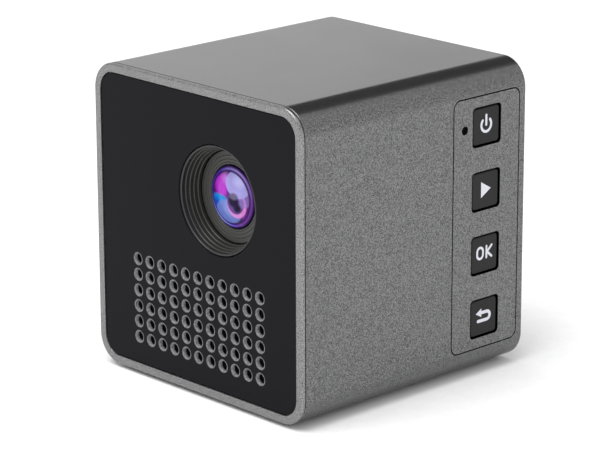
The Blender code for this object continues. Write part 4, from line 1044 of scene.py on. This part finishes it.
@dataclass
class Casing:
    """Sleeve, front bezel, key plate, rear cover and base pad."""

    corner_radius: float = 4.6 * MM
    wall: float = 1.0 * MM
    seam: float = 0.2 * MM
    front_round: float = 0.22 * MM
    rear_round: float = 0.4 * MM
    bezel_face: float = 1.44 * MM
    bezel_round: float = 0.38 * MM
    plate_radius: float = 1.3 * MM
    key_radius: float = 0.7 * MM
    key_opening: float = 6.5 * MM
    light_radius: float = 0.7 * MM
    side_vents: int = 6
    side_vent_middle: float = 12.0 * MM
    side_vent_pitch: float = 2.6 * MM
    side_vent_size: Point = (1.2 * MM, 14.0 * MM)
    rear_slots: int = 7
    rear_slot_pitch: float = 2.9 * MM
    rear_slot_size: Point = (20.0 * MM, 1.3 * MM)

    def __post_init__(self) -> None:
        """Reads the casing's places from the frame."""
        self.low, self.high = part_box("sleeve")
        self.bezel_low, self.bezel_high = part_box("front_bezel")
        self.half = ((self.high.x - self.low.x) / 2, (self.high.z - self.low.z) / 2)
        self.middle_z = (self.high.z + self.low.z) / 2

    def frame_shape(self, section: Sequence[Point], closed: bool = True) -> BMesh:
        """A section carried round the casing's outline.

        Args:
            section: (inset, y) points.
            closed: False for a plate that is filled in.

        Returns:
            The mesh.
        """
        return swept_frame(section, self.half, self.middle_z, self.corner_radius, closed)

    def shell_section(self, front: float, back: float) -> list[Point]:
        """The wall's section with its two outer edges rounded.

        Args:
            front: where the wall starts along Y.
            back: where it ends.

        Returns:
            The section's points.
        """
        near, far = self.front_round, self.rear_round
        start = [(near - x, front + near + y) for x, y in arc((0.0, 0.0), near, -90.0, 0.0, 4)]
        end = [(far - x, back - far + y) for x, y in arc((0.0, 0.0), far, 0.0, 90.0, 6)]
        return [(self.wall, front), *start, *end, (self.wall, back)]

    def plate_tool(self, grow: float) -> BMesh:
        """The key plate's outline, drawn through the right wall.

        Args:
            grow: distance that the outline grows all round.

        Returns:
            The tool's mesh.
        """
        low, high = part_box("key_plate")
        size = (high.y - low.y + 2 * grow, high.z - low.z + 2 * grow)
        centre = middle_across("key_plate", Axis.X)
        span = (low.x - 1.0 * MM, high.x + 1.0 * MM)
        return rounded_block(Axis.X, centre, size, span, self.plate_radius + grow, 8)

    def sleeve(self) -> None:
        """The painted tube with its openings, each edge slightly broken."""
        shell = to_object("sleeve_shell", self.frame_shape(self.shell_section(self.low.y, self.high.y)))
        dial_low, dial_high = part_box("focus_dial")
        dial_middle = (dial_low + dial_high) / 2
        reach = dial_middle.x - (self.low.x + self.wall)
        half_slot = math.sqrt((dial_middle.x - dial_low.x) ** 2 - reach**2) + 0.6 * MM
        width = dial_high.y - dial_low.y + 0.8 * MM
        through_left = (self.low.x - 1.0 * MM, self.low.x + 2 * self.wall)
        slot = rounded_block(
            Axis.X, (dial_middle.y, dial_middle.z), (width, 2 * half_slot), through_left, 0.9 * MM, 10
        )
        tools = [self.plate_tool(self.seam), slot]
        for index in range(self.side_vents):
            y = self.side_vent_middle + (index - (self.side_vents - 1) / 2) * self.side_vent_pitch
            place = (y, dial_middle.z)
            tools.append(rounded_block(Axis.X, place, self.side_vent_size, through_left, 0.4 * MM, 4))
        pad_low, pad_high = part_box("base_pad")
        recess_top = self.low.z + 0.4 * MM
        size = (pad_high.x - pad_low.x + 2 * self.seam, pad_high.y - pad_low.y + 2 * self.seam)
        tools.append(rounded_block(Axis.Z, (0.0, 0.0), size, (self.low.z - MM, recess_top), 4.2 * MM, 10))
        hole = [(0.0, self.low.z - MM), (4.7 * MM, self.low.z - MM), (4.7 * MM, self.low.z + 2 * MM),
                (0.0, self.low.z + 2 * MM)]
        tools.append(spun(hole, Axis.Z, (0.0, 0.0), 64, closed=False))
        carve(shell, tools)
        soften(shell, 0.07 * MM)
        present(shell, GREY_PAINT, stands_for=["sleeve"])

    def bezel(self) -> None:
        """The front frame with a rounded outer edge and a crisp inner one, in a lighter copy of the sleeve's
        paint: painted light on the front.
        """
        front = self.bezel_low.y
        edge = self.bezel_round
        lip = front + 0.6 * MM
        skirt_out, skirt_in = self.wall + 0.15 * MM, self.wall + 1.4 * MM
        outer = [(edge - x, front + edge + y) for x, y in arc((0.0, 0.0), edge, -90.0, 0.0, 8)]
        inner_edge = 0.1 * MM
        section = [
            (self.bezel_face, front + 0.75 * MM),
            (self.bezel_face, front + inner_edge),
            (self.bezel_face - 0.3 * inner_edge, front + 0.3 * inner_edge),
            (self.bezel_face - inner_edge, front),
            *outer,
            (0.0, lip - 0.05 * MM),
            (0.05 * MM, lip),
            (skirt_out, lip),
            (skirt_out, self.bezel_high.y),
            (skirt_in, self.bezel_high.y),
            (skirt_in, front + 0.75 * MM),
        ]
        ring = to_object("bezel_ring", self.frame_shape(section))
        present(ring, BEZEL_LIT_PAINT, stands_for=["front_bezel"])

    def key_plate(self) -> None:
        """The key plate, cut from the same wall as the sleeve."""
        low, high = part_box("key_plate")
        section = [(0.0, low.y - MM), (0.0, high.y + MM), (self.wall, high.y + MM), (self.wall, low.y - MM)]
        plate = to_object("key_plate_face", self.frame_shape(section))
        carve(plate, [self.plate_tool(0.0)], "INTERSECT")
        tools = []
        span = (low.x - MM, high.x + MM)
        opening = (self.key_opening, self.key_opening)
        for key in KeyColumn.NAMES:
            centre = middle_across(f"{key}_key", Axis.X)
            tools.append(rounded_block(Axis.X, centre, opening, span, self.key_radius, 6))
        hole = [(0.0, span[0]), (self.light_radius, span[0]), (self.light_radius, span[1]), (0.0, span[1])]
        tools.append(spun(hole, Axis.X, middle_across("status_lens", Axis.X), 40, closed=False))
        carve(plate, tools)
        soften(plate, 0.09 * MM)
        # Its finish paints shade, near black, on the walls of the openings.
        present(plate, KEY_PLATE_PAINT, stands_for=["key_plate"])

    def rear_cover(self) -> None:
        """The moulded rear cover with its grille, socket openings and screw sinks."""
        low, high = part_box("rear_cover")
        inset = self.wall + self.seam
        edge = 0.15 * MM
        rim = [(inset + edge - x, high.y - edge + y) for x, y in arc((0.0, 0.0), edge, 0.0, 90.0, 3)]
        cover = to_object("rear_cover_face", self.frame_shape([(inset, low.y), *rim], closed=False))
        through = (low.y - MM, high.y + MM)
        fan_x, fan_z = middle_across("fan_frame", Axis.Y)
        tools = []
        for slot in range(self.rear_slots):
            centre = (fan_x, fan_z + (slot - (self.rear_slots - 1) / 2) * self.rear_slot_pitch)
            tools.append(rounded_block(Axis.Y, centre, self.rear_slot_size, through, 0.6 * MM, 5))
        for name in ("hdmi_socket", "usb_socket"):
            port_low, port_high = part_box(name)
            centre = middle_across(name, Axis.Y)
            size = (port_high.x - port_low.x + 0.6 * MM, port_high.z - port_low.z + 0.6 * MM)
            tools.append(rounded_block(Axis.Y, centre, size, through, 0.8 * MM, 6))
        tools.append(self.round_tool(middle_across("audio_jack", Axis.Y), 2.8 * MM, through))
        for corner in RearFittings.CORNERS:
            place = middle_across(f"screw_{corner}", Axis.Y)
            tools.append(self.round_tool(place, 0.95 * MM, through))
            tools.append(self.round_tool(place, 1.5 * MM, (high.y - 0.8 * MM, high.y + MM)))
        carve(cover, tools)
        soften(cover, 0.1 * MM)
        present(cover, DARK_PLASTIC, stands_for=["rear_cover"])

    @staticmethod
    def round_tool(place: Point, radius: float, span: Point) -> BMesh:
        """A round tool along Y.

        Args:
            place: where its axis stands.
            radius: its radius.
            span: its two ends along Y.

        Returns:
            The tool's mesh.
        """
        profile = [(0.0, span[0]), (radius, span[0]), (radius, span[1]), (0.0, span[1])]
        return spun(profile, Axis.Y, place, 40, closed=False)

    def base_pad(self) -> None:
        """The rubber pad with moulded grooves round the tripod opening."""
        low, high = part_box("base_pad")
        size = (high.x - low.x, high.y - low.y)
        sheet = rounded_block(Axis.Z, (0.0, 0.0), size, (low.z, high.z), 4.0 * MM, 12)
        pad = to_object("base_pad_sheet", sheet)
        hole = [(0.0, low.z - MM), (6.0 * MM, low.z - MM), (6.0 * MM, high.z + MM), (0.0, high.z + MM)]
        tools = [spun(hole, Axis.Z, (0.0, 0.0), 80, closed=False)]
        for radius in (8.0 * MM, 10.0 * MM, 12.0 * MM, 14.0 * MM, 16.0 * MM):
            ring = [(radius, low.z - 0.3 * MM), (radius + 0.5 * MM, low.z - 0.3 * MM),
                    (radius + 0.5 * MM, low.z + 0.25 * MM), (radius, low.z + 0.25 * MM)]
            tools.append(spun(ring, Axis.Z, (0.0, 0.0), 96))
        carve(pad, tools)
        soften(pad, 0.08 * MM)
        present(pad, PAD_RUBBER, stands_for=["base_pad"])

    def build(self) -> None:
        """Makes every piece of the casing."""
        self.sleeve()
        self.bezel()
        self.key_plate()
        self.rear_cover()
        self.base_pad()


@dataclass
class FrontPanel:
    """Black front panel with its lens hole and grille, and the stepped trim in the hole."""

    casing: Casing
    columns: int = 11
    rows: int = 6
    pitch: Point = (2.86 * MM, 2.61 * MM)
    hole_radius: float = 1.09 * MM
    hole_flare: float = 0.05 * MM
    throat: float = 0.86 * MM
    lens_hole: float = 8.87 * MM
    gap_above: float = 4.605 * MM
    trim_steps: int = 5

    def __post_init__(self) -> None:
        """Reads the panel's places from the frame."""
        self.low, self.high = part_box("front_panel")
        self.lens = middle_across("lens_cell", Axis.Y)

    def mouth_tool(self, place: Point, radius: float, flare: float, sides: int) -> BMesh:
        """A round tool whose front end flares, so that the hole's mouth is rounded.

        Args:
            place: where its axis stands.
            radius: the hole's radius.
            flare: radius of the rounding at the mouth.
            sides: stretches round the hole.

        Returns:
            The tool's mesh.
        """
        front = self.low.y
        curve = arc((radius + flare, front + flare), flare, 180.0, 270.0, 3)
        profile = [(0.0, self.high.y + MM), (radius, self.high.y + MM), *curve]
        profile += [(radius + flare, front - 0.5 * MM), (0.0, front - 0.5 * MM)]
        return spun(profile, Axis.Y, place, sides, closed=False)

    def face(self) -> None:
        """The panel itself."""
        edge = 1.56 * MM
        step = 2.55 * MM
        rounding = 0.12 * MM
        curve = arc((0.0, 0.0), rounding, -90.0, 0.0, 3)
        rim = [(edge + rounding - x, self.low.y + rounding + y) for x, y in curve]
        flange = self.low.y + 0.4 * MM
        section = [*rim, (edge, flange), (step, flange), (step, self.high.y)]
        panel = to_object("front_panel_face", self.casing.frame_shape(section, closed=False))
        tools = [self.mouth_tool(self.lens, self.lens_hole, 0.12 * MM, 128)]
        for place in self.hole_places():
            tools.append(self.mouth_tool(place, self.hole_radius, self.hole_flare, 28))
        carve(panel, [merge(tools)])
        present(panel, PANEL_GLOSS, stands_for=["front_panel"])

    def liners(self) -> None:
        """A lipped tube in each hole of the grille."""
        front = self.low.y
        outer = self.hole_radius - 0.01 * MM
        mouth = outer - 0.05 * MM
        profile = [
            (outer, front + 1.1 * MM), (outer, front + 0.05 * MM), (mouth, front + 0.03 * MM),
            (self.throat + 0.04 * MM, front + 0.07 * MM), (self.throat, front + 0.12 * MM),
            (self.throat, front + 1.0 * MM), (outer - 0.05 * MM, front + 1.1 * MM),
        ]
        rings = merge(spun(profile, Axis.Y, place, 28) for place in self.hole_places())
        present(to_object("grille_liners", rings), LINER_GREY)

    def hole_places(self) -> list[Point]:
        """Middles of the grille's holes."""
        top = self.lens[1] - self.lens_hole - self.gap_above
        return [
            ((column - (self.columns - 1) / 2) * self.pitch[0], top - row * self.pitch[1])
            for column in range(self.columns) for row in range(self.rows)
        ]

    def trim(self) -> None:
        """The stepped baffle, each step with a small shining edge."""
        low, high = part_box("lens_trim")
        outer = self.lens_hole - 0.12 * MM
        mouth, throat = 8.4 * MM, 7.45 * MM
        depth = 0.65 * MM
        edge = 0.1 * MM
        profile = [(outer, low.y + edge), (outer - edge, low.y)]
        for step in range(self.trim_steps):
            radius = mouth + (throat - mouth) * step / (self.trim_steps - 1)
            top = low.y + step * depth
            profile += [(radius + edge, top), (radius, top + edge), (radius, top + depth)]
        flange_front = self.high.y + 0.15 * MM
        flange_back = flange_front + 0.8 * MM
        flange = self.lens_hole + 1.6 * MM
        profile += [(outer, high.y), (outer, flange_back), (flange, flange_back)]
        profile += [(flange, flange_front), (outer, flange_front)]
        trim = to_object("lens_trim_baffle", spun(profile, Axis.Y, self.lens, 128))
        present(trim, TRIM_BLACK, stands_for=["lens_trim"])

    def build(self) -> None:
        """Makes the panel and the trim."""
        self.face()
        self.liners()
        self.trim()


@dataclass
class ProjectionLens:
    """The lens cell with its retaining ring and the coated front glass."""

    body: str = "lens_group"
    glass_radius: float = 4.95 * MM
    bulge: float = 1.0 * MM

    def __post_init__(self) -> None:
        """Reads the lens's places from the frame."""
        self.low, self.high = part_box("lens_cell")
        self.axis_at = middle_across("lens_cell", Axis.Y)

    def cell(self) -> None:
        """The cell: a flat disc with turned grooves round the glass."""
        radius = (self.high.x - self.low.x) / 2
        lip = radius + 0.16 * MM
        front, back = self.low.y, self.high.y
        bore = self.glass_radius + 0.15 * MM
        step = front + 0.6 * MM
        profile = [(radius, back), (radius, step), (lip, step)]
        profile += [(lip, front + 0.12 * MM), (lip - 0.12 * MM, front)]
        for groove in (6.55 * MM, 5.95 * MM, 5.45 * MM):
            profile += [(groove + 0.06 * MM, front), (groove, front + 0.06 * MM), (groove - 0.06 * MM, front)]
        profile += [(bore + 0.1 * MM, front), (bore, front + 0.1 * MM), (bore, front + 2.5 * MM)]
        profile += [(3.8 * MM, front + 2.5 * MM), (3.8 * MM, front + 4.7 * MM), (5.35 * MM, front + 8.3 * MM)]
        profile += [(5.35 * MM, back)]
        cell = to_object("lens_cell_barrel", spun(profile, Axis.Y, self.axis_at, 128))
        present(cell, CELL_GREY, self.body, ["lens_cell"])

    def glass(self) -> None:
        """The front glass, a shallow dome over a thin dark rim."""
        low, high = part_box("front_element")
        rim_y = low.y + self.bulge
        steps = 16
        sphere = (self.glass_radius**2 + self.bulge**2) / (2 * self.bulge)
        dome = []
        for step in range(steps + 1):
            radius = self.glass_radius * 0.985 * step / steps
            dome.append((radius, low.y + sphere - math.sqrt(sphere**2 - radius**2)))
        rim = [(self.glass_radius, rim_y + 0.08 * MM), (self.glass_radius, high.y - 0.3 * MM)]
        profile = [*dome, *rim, (0.0, high.y)]
        glass = to_object("front_element_glass", spun(profile, Axis.Y, self.axis_at, 128, closed=False))
        # The coating with its painted reflections and painted shade fixed to the glass.
        coating = LensCoating(
            "lens_coating_painted_reflections", (0.045, 0.006, 0.10), 0.06, 0.0, 2000.0, 0.03, 0.0005, 0.02, 0.0, 1.2,
            centre=(self.axis_at[0], 0.0, self.axis_at[1]), radius=self.glass_radius,
        )
        present(glass, coating, self.body, ["front_element"])

    def build(self) -> None:
        """Makes the cell and the glass."""
        self.cell()
        self.glass()


@dataclass
class KeyColumn:
    """Four keys with their printed symbols."""

    NAMES = ("power", "play", "ok", "back")
    cap: float = 5.9 * MM
    cap_radius: float = 0.6 * MM
    edge: float = 0.22 * MM
    ink_proud: float = 0.015 * MM
    ink_depth: float = 0.06 * MM

    def cap_piece(self, name: str) -> None:
        """One key with its flange.

        Args:
            name: the key's name.
        """
        low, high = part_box(f"{name}_key")
        centre = middle_across(f"{name}_key", Axis.X)
        flange = high.y - low.y
        back = low.x + 0.5 * MM
        span = (back - 0.1 * MM, high.x)
        bm = rounded_block(Axis.X, centre, (self.cap, self.cap), span, self.cap_radius, 8)
        bevel(bm, cap_rim(bm, Axis.X, 1), self.edge, 4)
        key = to_object(f"{name}_key_cap", bm)
        plate = rounded_block(Axis.X, centre, (flange, flange), (low.x, back), 0.6 * MM, 4)
        carve(key, [plate], "UNION")
        present(key, KEY_GREY, f"{name}_button", [f"{name}_key"])

    def ink(self, name: str, shapes: Sequence[BMesh]) -> None:
        """Joins printed shapes, drawn flat about the origin in Y and Z, and lays them on the key.

        Args:
            name: the key's name.
            shapes: the shapes, which are freed.
        """
        low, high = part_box(f"{name}_key")
        place = Vector((high.x + self.ink_proud, (low.y + high.y) / 2, (low.z + high.z) / 2))
        for shape in shapes:
            bmesh.ops.translate(shape, verts=shape.verts, vec=place)
        symbol = to_object(f"{name}_symbol", shapes[0])
        carve(symbol, shapes[1:], "UNION")
        present(symbol, KEY_INK, f"{name}_button")

    def drawn(self, points: Sequence[Point]) -> BMesh:
        """A flat outline of (across, up) points given the ink's thickness.

        Args:
            points: the outline, anticlockwise.

        Returns:
            The solid.
        """
        bm = bmesh.new()
        face = bm.faces.new([bm.verts.new((0.0, y, z)) for y, z in points])
        made = bmesh.ops.extrude_face_region(bm, geom=[face])["geom"]
        moved = [item for item in made if isinstance(item, bmesh.types.BMVert)]
        bmesh.ops.translate(bm, verts=moved, vec=(-self.ink_depth, 0.0, 0.0))
        bmesh.ops.recalc_face_normals(bm, faces=bm.faces)
        return bm

    def stroke(self, centre: Point, radius: float, width: float, start: float, end: float) -> BMesh:
        """A curved stroke with round ends.

        Args:
            centre: middle of the curve.
            radius: its radius.
            width: the stroke's width.
            start: first angle in degrees.
            end: last angle in degrees.

        Returns:
            The solid.
        """
        half = width / 2
        outer = arc(centre, radius + half, start, end, 20)
        inner = arc(centre, radius - half, end, start, 20)
        tips = []
        for angle in (end, start):
            turn = math.radians(angle)
            tip = (centre[0] + radius * math.cos(turn), centre[1] + radius * math.sin(turn))
            first = angle if angle == end else angle + 180.0
            tips.append(arc(tip, half, first, first + 180.0, 6)[1:-1])
        return self.drawn([*outer, *tips[0], *inner, *tips[1]])

    def bar(self, first: Point, second: Point, width: float) -> BMesh:
        """A straight stroke with round ends.

        Args:
            first: one end.
            second: the other.
            width: the stroke's width.

        Returns:
            The solid.
        """
        heading = math.degrees(math.atan2(second[1] - first[1], second[0] - first[0]))
        half = width / 2
        points = arc(second, half, heading - 90.0, heading + 90.0, 6)
        points += arc(first, half, heading + 90.0, heading + 270.0, 6)
        return self.drawn(points)

    def power_symbol(self) -> list[BMesh]:
        """A broken ring with a bar in its gap."""
        centre = (0.0, 0.12 * MM)
        ring = self.stroke(centre, 1.12 * MM, 0.44 * MM, 138.0, 402.0)
        return [ring, self.bar(centre, (0.0, 1.66 * MM), 0.44 * MM)]

    def play_symbol(self) -> list[BMesh]:
        """A triangle that points to the rear."""
        lift = 0.12 * MM
        return [self.drawn([(-0.98 * MM, lift - 1.3 * MM), (1.24 * MM, lift), (-0.98 * MM, lift + 1.3 * MM)])]

    def ok_symbol(self) -> list[BMesh]:
        """The letters OK."""
        width = 0.4 * MM
        lift = 0.22 * MM
        half_height = 0.92 * MM
        left, right = -1.66 * MM, -0.32 * MM
        middle, radius = (left + right) / 2, (right - left) / 2
        rise = half_height - radius
        outline = [self.stroke((middle, lift + rise), radius, width, 0.0, 180.0)]
        outline.append(self.stroke((middle, lift - rise), radius, width, 180.0, 360.0))
        sides = [self.bar((x, lift - rise), (x, lift + rise), width) for x in (left, right)]
        stem_x = 0.48 * MM
        stem = self.bar((stem_x, lift - half_height), (stem_x, lift + half_height), width)
        arms = [
            self.bar((stem_x + 0.12 * MM, lift), (stem_x + 1.18 * MM, lift + side * half_height), width)
            for side in (-1, 1)
        ]
        return [*outline, *sides, stem, *arms]

    def back_symbol(self) -> list[BMesh]:
        """An arrow that turns back towards the front."""
        width = 0.54 * MM
        bend = (0.78 * MM, 0.08 * MM)
        radius = 0.66 * MM
        top, bottom = bend[1] + radius, bend[1] - radius
        hook = self.stroke(bend, radius, width, -90.0, 90.0)
        tail = self.bar((-1.25 * MM, bottom), (bend[0], bottom), width)
        shaft = self.bar((-0.7 * MM, top), (bend[0], top), width)
        head = self.drawn([(-1.78 * MM, top), (-0.5 * MM, top - 0.72 * MM), (-0.5 * MM, top + 0.72 * MM)])
        return [hook, tail, shaft, head]

    def build(self) -> None:
        """Makes the keys and their symbols."""
        symbols = {
            "power": self.power_symbol, "play": self.play_symbol,
            "ok": self.ok_symbol, "back": self.back_symbol,
        }
        for name in self.NAMES:
            self.cap_piece(name)
            self.ink(name, symbols[name]())


@dataclass
class RearFittings:
    """Screws, socket tongues and the tripod socket."""

    CORNERS = ("upper_right", "upper_left", "lower_right", "lower_left")
    head_radius: float = 1.3 * MM
    shank_radius: float = 0.85 * MM

    def screw(self, corner: str) -> None:
        """A cross-headed screw.

        Args:
            corner: which corner it stands in.
        """
        low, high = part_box(f"screw_{corner}")
        place = middle_across(f"screw_{corner}", Axis.Y)
        head = high.y - 0.7 * MM
        edge = 0.18 * MM
        curve = arc((0.0, 0.0), edge, 0.0, 90.0, 4)
        rim = [(self.head_radius - edge + x, high.y - edge + y) for x, y in curve]
        shank = [(0.0, low.y), (self.shank_radius, low.y), (self.shank_radius, head)]
        profile = [*shank, (self.head_radius, head), *rim, (0.0, high.y)]
        screw = to_object(f"rear_screw_{corner}", spun(profile, Axis.Y, place, 40, closed=False))
        span = (high.y - 0.45 * MM, high.y + MM)
        arms = [rounded_block(Axis.Y, place, size, span, 0.08 * MM, 2)
                for size in ((1.5 * MM, 0.32 * MM), (0.32 * MM, 1.5 * MM))]
        carve(screw, arms)
        present(screw, BLACK_STEEL, stands_for=[f"screw_{corner}"])

    def tongue(self, node: str, thickness: float) -> None:
        """The contact tongue inside a socket.

        Args:
            node: the socket's solid.
            thickness: the tongue's thickness.
        """
        low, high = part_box(node)
        middle = (low + high) / 2
        size = (high.x - low.x - 2.2 * MM, thickness)
        span = (high.y - 4.8 * MM, high.y - 0.9 * MM)
        bm = rounded_block(Axis.Y, (middle.x, middle.z), size, span, 0.2 * MM, 4)
        tongue = to_object(f"{node}_tongue", bm)
        present(tongue, DARK_PLASTIC)

    def tripod_socket(self) -> None:
        """The brass socket, with rings in its bore that stand for the thread."""
        low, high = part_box("tripod_nut")
        radius, pitch = 3.175 * MM, 1.27 * MM
        neck_top = low.z + 1.0 * MM
        bm = bmesh.new()
        middle = Matrix.Translation((0.0, 0.0, (high.z + neck_top) / 2))
        bmesh.ops.create_cone(
            bm, cap_ends=True, segments=6, radius1=6.2 * MM, radius2=6.2 * MM, depth=high.z - neck_top,
            matrix=middle @ Matrix.Rotation(math.radians(30.0), 4, "Z"),
        )
        socket = to_object("tripod_socket_nut", bm)
        neck_end = neck_top + 0.5 * MM
        neck = [
            (0.0, low.z), (4.35 * MM, low.z), (4.5 * MM, low.z + 0.15 * MM),
            (4.5 * MM, neck_end), (0.0, neck_end),
        ]
        carve(socket, [spun(neck, Axis.Z, (0.0, 0.0), 80, closed=False)], "UNION")
        bore = [(0.0, low.z - MM), (radius + 0.45 * MM, low.z - MM), (radius + 0.45 * MM, low.z),
                (radius, low.z + 0.45 * MM)]
        turns = int((high.z - low.z - 0.9 * MM) / pitch)
        for turn in range(turns):
            start = low.z + 0.45 * MM + turn * pitch
            groove = (radius + 0.4 * pitch, start + 0.55 * pitch)
            bore += [(radius, start + 0.2 * pitch), groove, (radius, start + 0.9 * pitch)]
        bore += [(radius, high.z + MM), (0.0, high.z + MM)]
        carve(socket, [spun(bore, Axis.Z, (0.0, 0.0), 80, closed=False)])
        present(socket, BRASS, stands_for=["tripod_nut"])

    def build(self) -> None:
        """Makes the rear and base fittings."""
        for corner in self.CORNERS:
            self.screw(corner)
        self.tongue("hdmi_socket", 0.7 * MM)
        self.tongue("usb_socket", 0.6 * MM)
        self.tripod_socket()


def dress_remaining_nodes() -> None:
    """Gives every solid that still shows a finish that fits its material slot."""
    slots = {entry["node"]: entry["material_slot"] for entry in frame["record"]["subparts"]}
    for name, obj in frame["nodes"].items():
        finish = SLOT_FINISHES[slots[name]]
        obj.data.materials.clear()
        obj.data.materials.append(finish.material())


@dataclass
class Studio:
    """Camera, floor, background and lights."""

    azimuth: float = 46.685
    elevation: float = 16.526
    roll: float = -0.205
    distance: float = 468.156 * MM
    offset: Point = (1.66 * MM, 2.415 * MM)
    focal: float = 174.87
    floor_size: float = 6.0

    def camera(self) -> None:
        """Looks at the casing's middle from the front right, slightly above."""
        yaw, pitch, roll = (math.radians(value) for value in (self.azimuth, self.elevation, self.roll))
        ahead = Vector((-math.sin(yaw) * math.cos(pitch), math.cos(yaw) * math.cos(pitch), -math.sin(pitch)))
        level = ahead.cross(Vector((0.0, 0.0, 1.0))).normalized()
        upright = level.cross(ahead)
        right = math.cos(roll) * level + math.sin(roll) * upright
        up = -math.sin(roll) * level + math.cos(roll) * upright
        sleeve_low, sleeve_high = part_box("sleeve")
        middle = Vector((0.0, 0.0, (sleeve_low.z + sleeve_high.z) / 2))
        place = middle - self.offset[0] * right - self.offset[1] * up - self.distance * ahead
        data = bpy.data.cameras.new("camera")
        data.lens = self.focal
        data.sensor_width = 36.0
        data.clip_start = 0.01
        camera = bpy.data.objects.new("camera", data)
        turned = Matrix((right, up, -ahead)).transposed().to_4x4()
        camera.matrix_world = Matrix.Translation(place) @ turned
        bpy.context.scene.collection.objects.link(camera)
        bpy.context.scene.camera = camera

    def card(self, name: str, colour: float, corners: Sequence[float], place: Matrix) -> None:
        """A flat card that isn't part of the object.

        Args:
            name: the card's name.
            colour: its grey.
            corners: its half width and half height.
            place: where it stands.
        """
        bm = bmesh.new()
        bmesh.ops.create_grid(bm, x_segments=1, y_segments=1, size=1.0)
        spread = Matrix.Diagonal((corners[0], corners[1], 1.0, 1.0))
        bmesh.ops.transform(bm, matrix=place @ spread, verts=bm.verts)
        card = to_object(name, bm)
        paper = Finish(f"{name}_paper", (colour,) * 3, 0.9, 0.0, 400.0, 0.01, 0.001, 0.02)
        card.data.materials.append(paper.material())

    def light(
        self, name: str, place: Sequence[float], target: Sequence[float], size: float, power: float
    ) -> None:
        """A square soft light.

        Args:
            name: its name.
            place: where it hangs.
            target: what it points at.
            size: its side.
            power: its power in watts.
        """
        data = bpy.data.lights.new(name, "AREA")
        data.shape = "SQUARE"
        data.size = size
        data.energy = power
        lamp = bpy.data.objects.new(name, data)
        lamp.location = place
        lamp.rotation_euler = (Vector(target) - Vector(place)).to_track_quat("-Z", "Y").to_euler()
        bpy.context.scene.collection.objects.link(lamp)

    def build(self) -> None:
        """Sets the studio up."""
        self.camera()
        self.card("floor", 0.95, (self.floor_size, self.floor_size), Matrix.Identity(4))
        flag_place = Matrix.Translation((-0.16, 0.30, 0.36)) @ Matrix.Rotation(math.radians(-47.0), 4, "X")
        self.card("dark_flag", 0.005, (0.22, 0.17), flag_place)
        middle = (0.0, 0.0, 0.025)
        self.light("top_soft", (0.0, -0.6, 1.6), middle, 1.2, 19.0)
        self.light("left_rear_soft", (-0.90, 0.85, 0.36), middle, 0.5, 0.22)
        world = bpy.data.worlds.new("studio")
        bpy.context.scene.world = world
        world.use_nodes = True
        background = world.node_tree.nodes["Background"]
        background.inputs["Color"].default_value = (1.0, 1.0, 1.0, 1.0)
        background.inputs["Strength"].default_value = 1.0
        bpy.context.scene.view_settings.view_transform = "Standard"


def main() -> None:
    """Builds the projector's pieces and the studio in order."""
    logging.basicConfig(level=logging.INFO, format="%(name)s %(message)s")
    dress_remaining_nodes()
    casing = Casing()
    builders = [casing, FrontPanel(casing), ProjectionLens(), KeyColumn(), RearFittings(), Studio()]
    for builder in builders:
        builder.build()
        LOG.info("%s done", type(builder).__name__)


if __name__ == "__main__":
    main()
